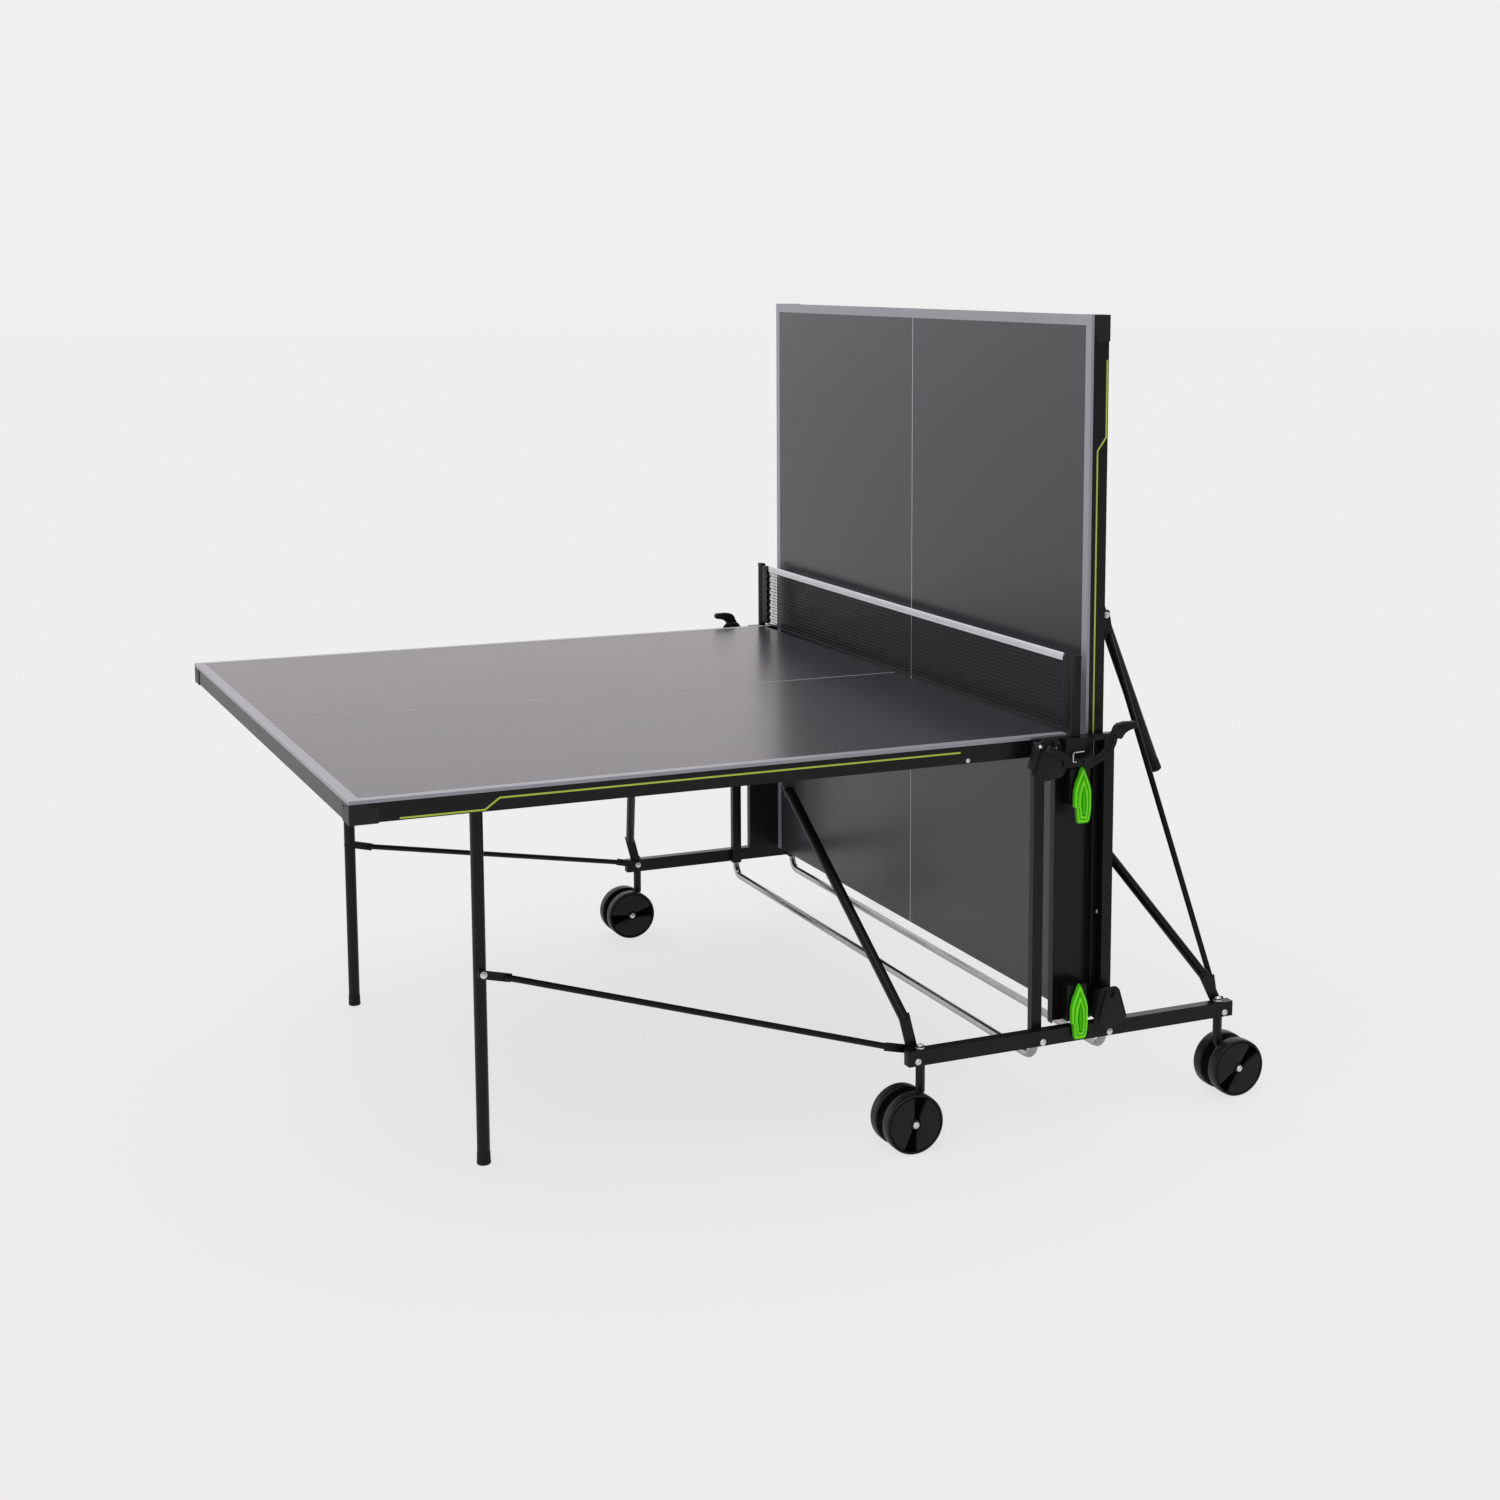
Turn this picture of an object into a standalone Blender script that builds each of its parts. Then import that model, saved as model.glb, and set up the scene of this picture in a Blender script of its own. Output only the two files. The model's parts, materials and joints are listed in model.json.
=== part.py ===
"""Folding outdoor table-tennis table, in metres, +Z up.

At rest the left half (-X) lies in the playing position and the right half (+X) is stored upright.
Each half goes up and over like a garage door. Its net end turns on carriages that slide down the
uprights, a pair of struts carries its middle, and its legs are drawn in by thin braces.

u is the distance from the net's plane, v the distance from the table's long centre plane.
near is the -Y side and far the +Y side. The origin is under the middle of the whole object.
"""

import math

import bmesh
import bpy
from mathutils import Matrix, Vector

# Each half and where it stands
HALF_LENGTH = 1.370
TABLE_WIDTH = 1.525
PLAY_HEIGHT = 0.760
HALF_GAP = 0.008  # net plane to a half's net end, in the playing position
STORED_FACE = 0.034  # net plane to a stored half's playing surface
STORED_BOTTOM = 0.187
BOARD = 0.006
CLEARANCE = 0.0003  # between pieces that touch
SHEET = 0.0015  # sheet steel

# Steel frame under each board
APRON_INSET = 0.0015
APRON_DEPTH = 0.040
FLANGE = 0.020
RIB_INNER = 0.4625
RIB_OUTER = 0.5115
RIB_DEPTH = 0.030
CAP_ARM = 0.050
CAP_WALL = 0.0012

# Side beams, at the foot of the chassis
BEAM_INNER = 0.782
BEAM_OUTER = 0.804
BEAM_BOTTOM = 0.160
BEAM_TOP = 0.190
BEAM_REACH = 0.360

# Bent frames: two uprights joined by a cross tube under the beams
UPRIGHT_U = (0.066, 0.088)
UPRIGHT_V = (0.7655, 0.7815)
UPRIGHT_TOP = 0.745
CROSS_RADIUS = 0.008
CROSS_HEIGHT = 0.128
BEND_RADIUS = 0.030

# Cover plate between the uprights, with the catches' housings
COVER_HALF_WIDTH = 0.043
COVER_V = 0.764
COVER_Z = (0.1935, 0.700)
HOUSING_HALF_WIDTH = 0.022
HOUSING_FACE = 0.803
CATCH_TIPS = {"lower": 0.276, "upper": 0.704}
CATCH_LENGTH = 0.110
CATCH_V = (0.8065, 0.8205)
CATCH_HINGE_V = 0.8065

# Bracket on top of the uprights, with the net's post and the curved arm
BRACKET_TOP = 0.757
BRACKET_V = (0.783, 0.800)
ARM_PIVOT_Z = 0.714
ARM_V = (0.8225, 0.8335)
ARM_WIDTH = 0.014

# Net
NET_TOP = 0.9125
NET_BOTTOM = 0.765
NET_END = 0.7335
NET_THICKNESS = 0.003
BAND_HEIGHT = 0.015
POST_HALF_WIDTH = 0.006
POST_V = (0.772, 0.792)
CLIP_V = (0.735, 0.7735)

# Carriages, measured from the pin that each half's net end turns on
PIN_DEPTH = 0.021
PIN_RADIUS = 0.004
CARRIAGE_INNER_V = (0.7835, 0.8060)
CARRIAGE_OUTER_V = (0.8048, 0.8135)

# Struts, legs and braces
LINK_PIN_U = 0.341
LINK_PIN_Z = 0.182
LINK_EAR_V = (0.7785, 0.7825)
STRUT_PIN_DEPTH = 0.070
STRUT_RADIUS = 0.010
STRUT_FOOT_V = 0.7755
STRUT_HEAD_V = 0.4575
LEG_V = 0.5235
LEG_PIN_FROM_NET_END = 1.090
LEG_PIN_DEPTH = 0.041
LEG_RADIUS = 0.012
LEG_WALL = 0.0015
BRACE_PIN_DOWN_LEG = 0.3535
BRACE_RADIUS = 0.006
BRACE_FOOT_V = 0.7670
BRACE_HEAD_V = 0.5425
EYE_THICKNESS = 0.004
STRUT_FLAT = 0.075  # length of a link's flattened ends
BRACE_FLAT = 0.055
RUNNING_GAP = 0.0003  # a pin in its eye

# Casters
STEM_U = 0.333
STEM_V = 0.793
STEM_RADIUS = 0.0095
STEM_PIN_RADIUS = 0.006
CASTER_TRAIL = 0.028
WHEEL_RADIUS = 0.058
WHEEL_WIDTH = 0.026
WHEEL_OFFSET = 0.0265
AXLE_RADIUS = 0.005
TREAD_ROUNDING = 0.004

SIDES = {"near": -1, "far": 1}
HANDS = {"left": -1, "right": 1}

# The net's plane stands off the origin, because the left half reaches further than the right one.
NET_X = (HALF_GAP + HALF_LENGTH - STEM_U - CASTER_TRAIL - WHEEL_RADIUS) / 2


# ---- the linkage, worked out in the plane of u and z ----


def playing(from_net_end, depth):
    """A point of a half, in the playing position."""
    return Vector((HALF_GAP + from_net_end, PLAY_HEIGHT - depth))


def stored(from_net_end, depth):
    """The same point with the half stored upright."""
    return Vector((STORED_FACE + depth, STORED_BOTTOM + from_net_end))


def strut_pin_from_net_end():
    """Where the strut's head pin sits, so that the strut is equally long in both positions."""
    base = Vector((LINK_PIN_U, LINK_PIN_Z))
    low, high = 0.2, 0.9
    for _ in range(60):
        middle = (low + high) / 2
        flat = (playing(middle, STRUT_PIN_DEPTH) - base).length
        upright = (stored(middle, STRUT_PIN_DEPTH) - base).length
        if flat < upright:
            high = middle
        else:
            low = middle
    return (low + high) / 2


def circles_meet(first, first_radius, second, second_radius):
    """The outer one of the two points where two circles cross."""
    across = second - first
    distance = across.length
    along = (first_radius**2 - second_radius**2 + distance**2) / (2 * distance)
    aside = math.sqrt(first_radius**2 - along**2)
    direction = across / distance
    normal = Vector((-direction.y, direction.x))
    return max((first + along * direction + sign * aside * normal for sign in (1, -1)), key=lambda p: p.x)


PIN_FROM_NET_END = STORED_FACE + PIN_DEPTH - HALF_GAP
HALF_PIN_PLAYING = playing(PIN_FROM_NET_END, PIN_DEPTH)
HALF_PIN_STORED = stored(PIN_FROM_NET_END, PIN_DEPTH)
LINK_PIN = Vector((LINK_PIN_U, LINK_PIN_Z))
STRUT_PIN_FROM_NET_END = strut_pin_from_net_end()
STRUT_HEAD_PLAYING = playing(STRUT_PIN_FROM_NET_END, STRUT_PIN_DEPTH)
STRUT_HEAD_STORED = stored(STRUT_PIN_FROM_NET_END, STRUT_PIN_DEPTH)
LEG_PIN_PLAYING = playing(LEG_PIN_FROM_NET_END, LEG_PIN_DEPTH)
LEG_PIN_STORED = stored(LEG_PIN_FROM_NET_END, LEG_PIN_DEPTH)
BRACE_HEAD_PLAYING = LEG_PIN_PLAYING - Vector((0, BRACE_PIN_DOWN_LEG))
BRACE_LENGTH = (BRACE_HEAD_PLAYING - LINK_PIN).length
BRACE_HEAD_STORED = circles_meet(LEG_PIN_STORED, BRACE_PIN_DOWN_LEG, LINK_PIN, BRACE_LENGTH)


def turn_between(centre, start, end):
    """The angle about +Y, seen on the +X half, that takes start to end round centre."""
    before = start - centre
    after = end - centre
    return -(math.atan2(after.y, after.x) - math.atan2(before.y, before.x))


STRUT_TURN = turn_between(LINK_PIN, STRUT_HEAD_PLAYING, STRUT_HEAD_STORED)
BRACE_TURN = turn_between(LINK_PIN, BRACE_HEAD_PLAYING, BRACE_HEAD_STORED)
LEG_WORLD_TURN = turn_between(
    Vector((0, 0)), BRACE_HEAD_PLAYING - LEG_PIN_PLAYING, BRACE_HEAD_STORED - LEG_PIN_STORED
)
HALF_TURN = -math.pi / 2
LEG_TURN = LEG_WORLD_TURN - HALF_TURN


# ---- modelling tools ----


def clear_scene():
    for obj in list(bpy.data.objects):
        bpy.data.objects.remove(obj)


def new_collection(name):
    collection = bpy.data.collections.new(name)
    bpy.context.scene.collection.children.link(collection)
    return collection


clear_scene()
PARTS = new_collection("ping_pong_table")


def finish(name, colour, roughness, metallic=0.0):
    material = bpy.data.materials.new(name)
    material.use_nodes = True
    shader = material.node_tree.nodes["Principled BSDF"]
    shader.inputs["Base Color"].default_value = (*colour, 1.0)
    shader.inputs["Roughness"].default_value = roughness
    shader.inputs["Metallic"].default_value = metallic
    return material


PLAYING_COAT = finish("playing_coat", (0.075, 0.075, 0.085), 0.35)
BLACK_STEEL = finish("black_painted_steel", (0.010, 0.010, 0.011), 0.32, 0.1)
BLACK_PLASTIC = finish("black_plastic", (0.014, 0.014, 0.015), 0.5)
CAP_PLASTIC = finish("corner_plastic", (0.020, 0.020, 0.022), 0.45)
GREEN_PLASTIC = finish("green_plastic", (0.10, 0.55, 0.01), 0.35)
ZINC = finish("zinc_plated_steel", (0.60, 0.60, 0.58), 0.3, 1.0)
NET_CORD = finish("net_cord", (0.020, 0.020, 0.028), 0.8)
NET_TAPE = finish("net_tape", (0.80, 0.80, 0.82), 0.7)


def add(name, data, look):
    obj = bpy.data.objects.new(name, data)
    data.materials.append(look)
    PARTS.objects.link(obj)
    return obj


def mesh_from(builder):
    """A mesh from a function that fills a bmesh."""
    mesh = bpy.data.meshes.new("mesh")
    work = bmesh.new()
    builder(work)
    work.to_mesh(mesh)
    work.free()
    return mesh


def block(name, x, y, z, look):
    """A box between pairs of limits, given in either order."""
    limits = [sorted(pair) for pair in (x, y, z)]
    size = [high - low for low, high in limits]
    mesh = mesh_from(lambda work: bmesh.ops.create_cube(work, size=1, matrix=Matrix.Diagonal((*size, 1))))
    obj = add(name, mesh, look)
    obj.location = [(low + high) / 2 for low, high in limits]
    return obj


def rod(name, start, end, radius, look, segments=16):
    """A round bar between two points."""
    start = Vector(start)
    end = Vector(end)
    length = (end - start).length

    def build(work):
        bmesh.ops.create_cone(
            work, cap_ends=True, segments=segments, radius1=radius, radius2=radius, depth=length
        )

    obj = add(name, mesh_from(build), look)
    obj.data.shade_smooth()
    obj.data.set_sharp_from_angle(angle=math.radians(40))
    obj.location = (start + end) / 2
    obj.rotation_euler = (end - start).to_track_quat("Z", "Y").to_euler()
    return obj


def as_mesh(curve):
    """Swaps a curve object for a mesh object of the same shape, name and place."""
    bpy.context.view_layer.update()
    graph = bpy.context.evaluated_depsgraph_get()
    mesh = bpy.data.meshes.new_from_object(curve.evaluated_get(graph))
    work = bmesh.new()
    work.from_mesh(mesh)
    bmesh.ops.remove_doubles(work, verts=work.verts, dist=1e-6)
    work.to_mesh(mesh)
    work.free()
    name = curve.name
    placed = curve.matrix_world.copy()
    bpy.data.objects.remove(curve)
    obj = bpy.data.objects.new(name, mesh)
    obj.name = name
    obj.matrix_world = placed
    PARTS.objects.link(obj)
    return obj


def poly_curve(name, points, dimensions, cyclic, look):
    curve = bpy.data.curves.new(name, "CURVE")
    curve.dimensions = dimensions
    spline = curve.splines.new("POLY")
    spline.points.add(len(points) - 1)
    for point, place in zip(spline.points, points):
        point.co = (*place, 1) if len(place) == 3 else (*place, 0, 1)
    spline.use_cyclic_u = cyclic
    return add(name, curve, look)


def bent_tube(name, points, radius, look):
    """A round tube along a line of points."""
    obj = poly_curve(name, points, "3D", False, look)
    obj.data.bevel_depth = radius
    obj.data.bevel_resolution = 2
    obj.data.use_fill_caps = True
    return as_mesh(obj)


def plate(name, outline, y, look):
    """A flat outline of (x, z) points, given a thickness along Y."""
    obj = poly_curve(name, outline, "2D", True, look)
    obj.data.fill_mode = "BOTH"
    obj.data.extrude = abs(y[1] - y[0]) / 2
    obj.rotation_euler.x = math.pi / 2
    obj.location.y = (y[0] + y[1]) / 2
    return as_mesh(obj)


def combine(target, tool, operation):
    """Applies a Boolean to the target and removes the tool."""
    modifier = target.modifiers.new("join", "BOOLEAN")
    modifier.object = tool
    modifier.operation = operation
    bpy.context.view_layer.update()
    graph = bpy.context.evaluated_depsgraph_get()
    mesh = bpy.data.meshes.new_from_object(target.evaluated_get(graph))
    target.modifiers.remove(modifier)
    target.data = mesh
    bpy.data.objects.remove(tool)


def union(target, *pieces):
    for piece in pieces:
        combine(target, piece, "UNION")
    return target


def cut(target, *pieces):
    for piece in pieces:
        combine(target, piece, "DIFFERENCE")
    return target


def at(hand, side, point, v):
    """World place of a point in the plane of u and z, at v from the centre plane."""
    return Vector((NET_X + hand * point[0], side * v, point[1]))


def u_span(hand, pair):
    return tuple(NET_X + hand * u for u in pair)


def v_span(side, pair):
    return tuple(side * v for v in pair)


def cross_rod(name, hand, side, point, v_pair, radius, look, segments=16):
    """A round bar along Y."""
    return rod(name, at(hand, side, point, v_pair[0]), at(hand, side, point, v_pair[1]), radius, look, segments)


def pivot(name, place):
    empty = bpy.data.objects.new(name, None)
    empty.empty_display_size = 0.05
    empty.location = place
    PARTS.objects.link(empty)
    bpy.context.view_layer.update()
    return empty


def hang(parent, *children):
    """Parents pieces to a pivot and leaves them where they are."""
    bpy.context.view_layer.update()
    for child in children:
        child.parent = parent
        child.matrix_parent_inverse = parent.matrix_world.inverted()


# ---- a half: board, steel frame and corner caps, modelled in the playing position ----


def half_block(name, hand, from_net_end, v, depth, look):
    """A box in a half's own measures: from its net end, across, and down from its surface."""
    x = u_span(hand, [HALF_GAP + s for s in from_net_end])
    return block(name, x, v, [PLAY_HEIGHT - d for d in depth], look)


def board(name, hand):
    v = TABLE_WIDTH / 2
    return half_block(f"{name}_board", hand, (0, HALF_LENGTH), (-v, v), (0, BOARD), PLAYING_COAT)


def apron_ring(name, hand):
    """Sheet steel round the board, turned inwards along its lower edge."""
    top = BOARD + CLEARANCE
    ends = (APRON_INSET, HALF_LENGTH - APRON_INSET)
    v = TABLE_WIDTH / 2 - APRON_INSET
    ring = half_block(f"{name}_frame", hand, ends, (-v, v), (top, APRON_DEPTH), BLACK_STEEL)
    inside = (ends[0] + SHEET, ends[1] - SHEET)
    within = v - SHEET
    above_flange = (0, APRON_DEPTH - SHEET)
    space = half_block("space", hand, inside, (-within, within), above_flange, BLACK_STEEL)
    opening_ends = (ends[0] + FLANGE, ends[1] - FLANGE)
    opening_v = v - FLANGE
    opening = half_block(
        "opening", hand, opening_ends, (-opening_v, opening_v), (0, 2 * APRON_DEPTH), BLACK_STEEL
    )
    return cut(ring, space, opening)


def rib(hand, side):
    """A channel along the half, open towards the board."""
    top = BOARD + 2 * CLEARANCE
    length = (APRON_INSET + SHEET / 2, HALF_LENGTH - APRON_INSET - SHEET / 2)
    outer = half_block("rib", hand, length, v_span(side, (RIB_INNER, RIB_OUTER)), (top, RIB_DEPTH), BLACK_STEEL)
    hollow_v = v_span(side, (RIB_INNER + SHEET, RIB_OUTER - SHEET))
    hollow_length = (length[0] + SHEET, length[1] - SHEET)
    hollow = half_block("hollow", hand, hollow_length, hollow_v, (0, RIB_DEPTH - SHEET), BLACK_STEEL)
    return cut(outer, hollow)


def strut_ear(hand, side):
    """The plate on the rib that the strut's head is bolted to."""
    ear = 0.013
    s = (STRUT_PIN_FROM_NET_END - ear, STRUT_PIN_FROM_NET_END + ear)
    v = v_span(side, (RIB_INNER - 0.0025, RIB_INNER + SHEET / 2))
    return half_block("strut_ear", hand, s, v, (BOARD + 0.004, STRUT_PIN_DEPTH + ear), BLACK_STEEL)


def leg_bracket(hand, side):
    """A U bracket beside the rib, with the pin that the leg turns on."""
    half_width = 0.013
    s = (LEG_PIN_FROM_NET_END - half_width, LEG_PIN_FROM_NET_END + half_width)
    inner_v = (RIB_OUTER - SHEET / 2, RIB_OUTER + 0.0025)
    outer_v = (2 * LEG_V - inner_v[1], 2 * LEG_V - inner_v[0])
    top = BOARD + 3 * CLEARANCE
    depth = (top, LEG_PIN_DEPTH + 0.013)
    web = half_block(
        "web", hand, s, v_span(side, (inner_v[0], outer_v[1])), (top, top + 0.003), BLACK_STEEL
    )
    inner = half_block("inner_ear", hand, s, v_span(side, inner_v), depth, BLACK_STEEL)
    outer = half_block("outer_ear", hand, s, v_span(side, outer_v), depth, BLACK_STEEL)
    pin_v = (inner_v[0] + SHEET, outer_v[1])
    pin = cross_rod("pin", hand, side, LEG_PIN_PLAYING, pin_v, PIN_RADIUS, BLACK_STEEL)
    return union(web, inner, outer, pin)


def half_pin(hand, side):
    """The pin on the frame's side wall that runs in the carriage."""
    v = (TABLE_WIDTH / 2 - APRON_INSET - SHEET / 2, CARRIAGE_INNER_V[1] - 0.004)
    return cross_rod("half_pin", hand, side, HALF_PIN_PLAYING, v, PIN_RADIUS, BLACK_STEEL)


def steel_frame(name, hand):
    frame = apron_ring(name, hand)
    for side in SIDES.values():
        union(frame, rib(hand, side), strut_ear(hand, side), leg_bracket(hand, side), half_pin(hand, side))
    return frame


def corner_cap(name, hand, side):
    """A thin plastic corner round the frame's free end."""
    v = TABLE_WIDTH / 2
    bottom = APRON_DEPTH + 2 * CLEARANCE
    s = (HALF_LENGTH - CAP_ARM, HALF_LENGTH)
    depth = (BOARD + CLEARANCE, bottom + CAP_WALL)
    cap = half_block(f"{name}_corner_cap", hand, s, v_span(side, (v - CAP_ARM, v)), depth, CAP_PLASTIC)
    inner_s = (s[0] - CAP_ARM, s[1] - CAP_WALL)
    inner_v = v_span(side, (v - 2 * CAP_ARM, v - CAP_WALL))
    inner = half_block("inner", hand, inner_s, inner_v, (0, bottom), CAP_PLASTIC)
    return cut(cap, inner)


# ---- links ----


def eye(point, towards, v, half_width, length, look):
    """A flattened end round a pin: a plate that runs from the pin along the link."""
    direction = (towards - point).normalized()
    across = Vector((-direction.y, direction.x))
    chamfer = 0.4 * half_width
    corners = [
        point - direction * half_width + across * (half_width - chamfer),
        point - direction * (half_width - chamfer) + across * half_width,
        point + direction * length + across * half_width,
        point + direction * length - across * half_width,
        point - direction * (half_width - chamfer) - across * half_width,
        point - direction * half_width - across * (half_width - chamfer),
    ]
    pair = (v - EYE_THICKNESS / 2, v + EYE_THICKNESS / 2)
    return corners, pair, look


def eye_plate(name, hand, side, spec):
    corners, pair, look = spec
    outline = [(NET_X + hand * corner.x, corner.y) for corner in corners]
    return plate(name, outline, v_span(side, pair), look)


def link(name, hand, side, foot, head, foot_v, head_v, radius, half_width, flat, bored):
    """A round bar between two flattened eyes. bored lists the eyes that hold a pin."""
    overlap = 0.012
    direction = (head - foot).normalized()
    lower = eye_plate(name, hand, side, eye(foot, head, foot_v, half_width, flat, BLACK_STEEL))
    upper = eye_plate("upper_eye", hand, side, eye(head, foot, head_v, half_width, flat, BLACK_STEEL))
    start = at(hand, side, foot + direction * (flat - overlap), foot_v)
    end = at(hand, side, head - direction * (flat - overlap), head_v)
    bar = rod("bar", start, end, radius, BLACK_STEEL)
    union(lower, bar, upper)
    for pin, v in bored:
        hole_v = (v - EYE_THICKNESS, v + EYE_THICKNESS)
        hole = cross_rod("hole", hand, side, pin, hole_v, PIN_RADIUS + RUNNING_GAP, BLACK_STEEL)
        cut(lower, hole)
    return lower


def strut(name, hand, side):
    bored = [(LINK_PIN, STRUT_FOOT_V)]
    return link(
        f"{name}_strut", hand, side, LINK_PIN, STRUT_HEAD_PLAYING,
        STRUT_FOOT_V, STRUT_HEAD_V, STRUT_RADIUS, 0.011, STRUT_FLAT, bored,
    )


def brace(name, hand, side):
    bored = [(LINK_PIN, BRACE_FOOT_V)]
    return link(
        f"{name}_brace", hand, side, LINK_PIN, BRACE_HEAD_PLAYING,
        BRACE_FOOT_V, BRACE_HEAD_V, BRACE_RADIUS, 0.008, BRACE_FLAT, bored,
    )


def leg(name, hand, side):
    """A tube, open at its foot, with a flattened top on the bracket's pin and a boss for the brace."""
    pin = LEG_PIN_PLAYING
    shoulder = pin.y - 0.020
    top = at(hand, side, Vector((pin.x, shoulder)), LEG_V)
    foot = at(hand, side, Vector((pin.x, 0)), LEG_V)
    tube = rod(f"{name}_leg", foot, top, LEG_RADIUS, BLACK_STEEL, 20)
    hollow_top = at(hand, side, Vector((pin.x, shoulder - 0.030)), LEG_V)
    below = at(hand, side, Vector((pin.x, -0.010)), LEG_V)
    cut(tube, rod("hollow", below, hollow_top, LEG_RADIUS - LEG_WALL, BLACK_STEEL, 20))
    tongue_v = v_span(side, (LEG_V - 0.0085, LEG_V + 0.0085))
    tongue_z = (shoulder - 0.012, pin.y + 0.010)
    tongue = block("tongue", u_span(hand, (pin.x - 0.010, pin.x + 0.010)), tongue_v, tongue_z, BLACK_STEEL)
    boss_v = (LEG_V + LEG_RADIUS - 0.003, BRACE_HEAD_V - EYE_THICKNESS / 2 - CLEARANCE)
    boss = cross_rod("boss", hand, side, BRACE_HEAD_PLAYING, boss_v, 0.007, BLACK_STEEL)
    union(tube, tongue, boss)
    hole_v = (LEG_V - 0.020, LEG_V + 0.020)
    return cut(tube, cross_rod("hole", hand, side, pin, hole_v, PIN_RADIUS + RUNNING_GAP, BLACK_STEEL))


def carriage(name, hand, side):
    """The plastic slide on the upright: a wide outer face with a deep back, bored for the half's pin."""
    outer_outline = [
        (-0.021, -0.040), (-0.006, 0.018), (0.001, 0.0255), (0.030, 0.0255), (0.038, 0.018),
        (0.055, -0.038), (0.049, -0.049), (0.024, -0.0575), (-0.012, -0.052),
    ]
    inner_outline = [(-0.018, -0.034), (-0.006, 0.016), (0.037, 0.016), (0.052, -0.034)]
    centre = HALF_PIN_PLAYING

    def placed(outline):
        return [(NET_X + hand * (centre.x + u), centre.y + z) for u, z in outline]

    face = plate(f"{name}_carriage", placed(outer_outline), v_span(side, CARRIAGE_OUTER_V), BLACK_PLASTIC)
    inner = plate("inner", placed(inner_outline), v_span(side, CARRIAGE_INNER_V), BLACK_PLASTIC)
    union(face, inner)
    bore_v = (CARRIAGE_INNER_V[0] - 0.010, CARRIAGE_INNER_V[1] - 0.002)
    return cut(face, cross_rod("bore", hand, side, centre, bore_v, PIN_RADIUS + RUNNING_GAP, BLACK_PLASTIC))


# ---- chassis ----


def side_beam(name, side):
    """A rectangular tube with an ear and a pin at each end for the links, and holes for the casters."""
    x = (NET_X - BEAM_REACH, NET_X + BEAM_REACH)
    beam = block(
        f"{name}_side_beam", x, v_span(side, (BEAM_INNER, BEAM_OUTER)), (BEAM_BOTTOM, BEAM_TOP), BLACK_STEEL
    )
    inside_v = v_span(side, (BEAM_INNER + SHEET, BEAM_OUTER - SHEET))
    inside = block(
        "inside", (x[0] - 1, x[1] + 1), inside_v, (BEAM_BOTTOM + SHEET, BEAM_TOP - SHEET), BLACK_STEEL
    )
    cut(beam, inside)
    for hand in HANDS.values():
        ear_u = (LINK_PIN_U - 0.012, LINK_PIN_U + 0.012)
        ear_z = (BEAM_BOTTOM + 0.004, LINK_PIN_Z + 0.012)
        ear = block("ear", u_span(hand, ear_u), v_span(side, LINK_EAR_V), ear_z, BLACK_STEEL)
        pin_v = (BRACE_FOOT_V - 0.0045, LINK_EAR_V[1] - 0.001)
        pin = cross_rod("pin", hand, side, LINK_PIN, pin_v, PIN_RADIUS, BLACK_STEEL)
        union(beam, ear, pin)
        below = at(hand, side, Vector((STEM_U, BEAM_BOTTOM - 0.010)), STEM_V)
        above = at(hand, side, Vector((STEM_U, BEAM_TOP + 0.010)), STEM_V)
        cut(beam, rod("hole", below, above, STEM_PIN_RADIUS + RUNNING_GAP, BLACK_STEEL))
    return beam


def bend(centre, radius, start, end, steps=5):
    """Points round a bend, in the plane of y and z."""
    angles = [math.radians(start + (end - start) * step / steps) for step in range(steps + 1)]
    return [(centre[0] + radius * math.cos(a), centre[1] + radius * math.sin(a)) for a in angles]


def bent_frame(name, hand):
    """Two uprights and the tube that joins them under the beams."""
    u = sum(UPRIGHT_U) / 2
    v = sum(UPRIGHT_V) / 2
    foot = CROSS_HEIGHT + BEND_RADIUS
    half = bend((v - BEND_RADIUS, foot), BEND_RADIUS, 0, -90)
    line = [(v, foot + 0.05), *half, *((-y, z) for y, z in reversed(half)), (-v, foot + 0.05)]
    points = [(NET_X + hand * u, y, z) for y, z in line]
    frame = bent_tube(f"{name}_bent_frame", points, CROSS_RADIUS, BLACK_STEEL)
    for side in SIDES.values():
        upright = block(
            "upright", u_span(hand, UPRIGHT_U), v_span(side, UPRIGHT_V), (foot, UPRIGHT_TOP), BLACK_STEEL
        )
        hollow_u = (UPRIGHT_U[0] + SHEET, UPRIGHT_U[1] - SHEET)
        hollow_v = (UPRIGHT_V[0] + SHEET, UPRIGHT_V[1] - SHEET)
        hollow_z = (foot + 0.08, UPRIGHT_TOP + 0.01)
        cut(upright, block("hollow", u_span(hand, hollow_u), v_span(side, hollow_v), hollow_z, BLACK_STEEL))
        union(frame, upright)
    return frame


def cover(name, side):
    """The folded plate between the uprights, with the housings that the catches hang on."""
    width = (NET_X - COVER_HALF_WIDTH, NET_X + COVER_HALF_WIDTH)
    plate_v = (COVER_V, COVER_V + SHEET)
    cover_plate = block(f"{name}_cover", width, v_span(side, plate_v), COVER_Z, BLACK_STEEL)
    for hand in HANDS.values():
        flange_u = (COVER_HALF_WIDTH - SHEET, COVER_HALF_WIDTH)
        flange_v = (COVER_V, UPRIGHT_V[1])
        union(cover_plate, block("flange", u_span(hand, flange_u), v_span(side, flange_v), COVER_Z, BLACK_STEEL))
    for tip in CATCH_TIPS.values():
        x = (NET_X - HOUSING_HALF_WIDTH, NET_X + HOUSING_HALF_WIDTH)
        z = (max(tip - 0.075, COVER_Z[0]), min(tip - 0.004, COVER_Z[1] - 0.001))
        union(cover_plate, block("housing", x, v_span(side, (COVER_V + 0.0005, HOUSING_FACE)), z, BLACK_STEEL))
    return cover_plate


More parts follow.
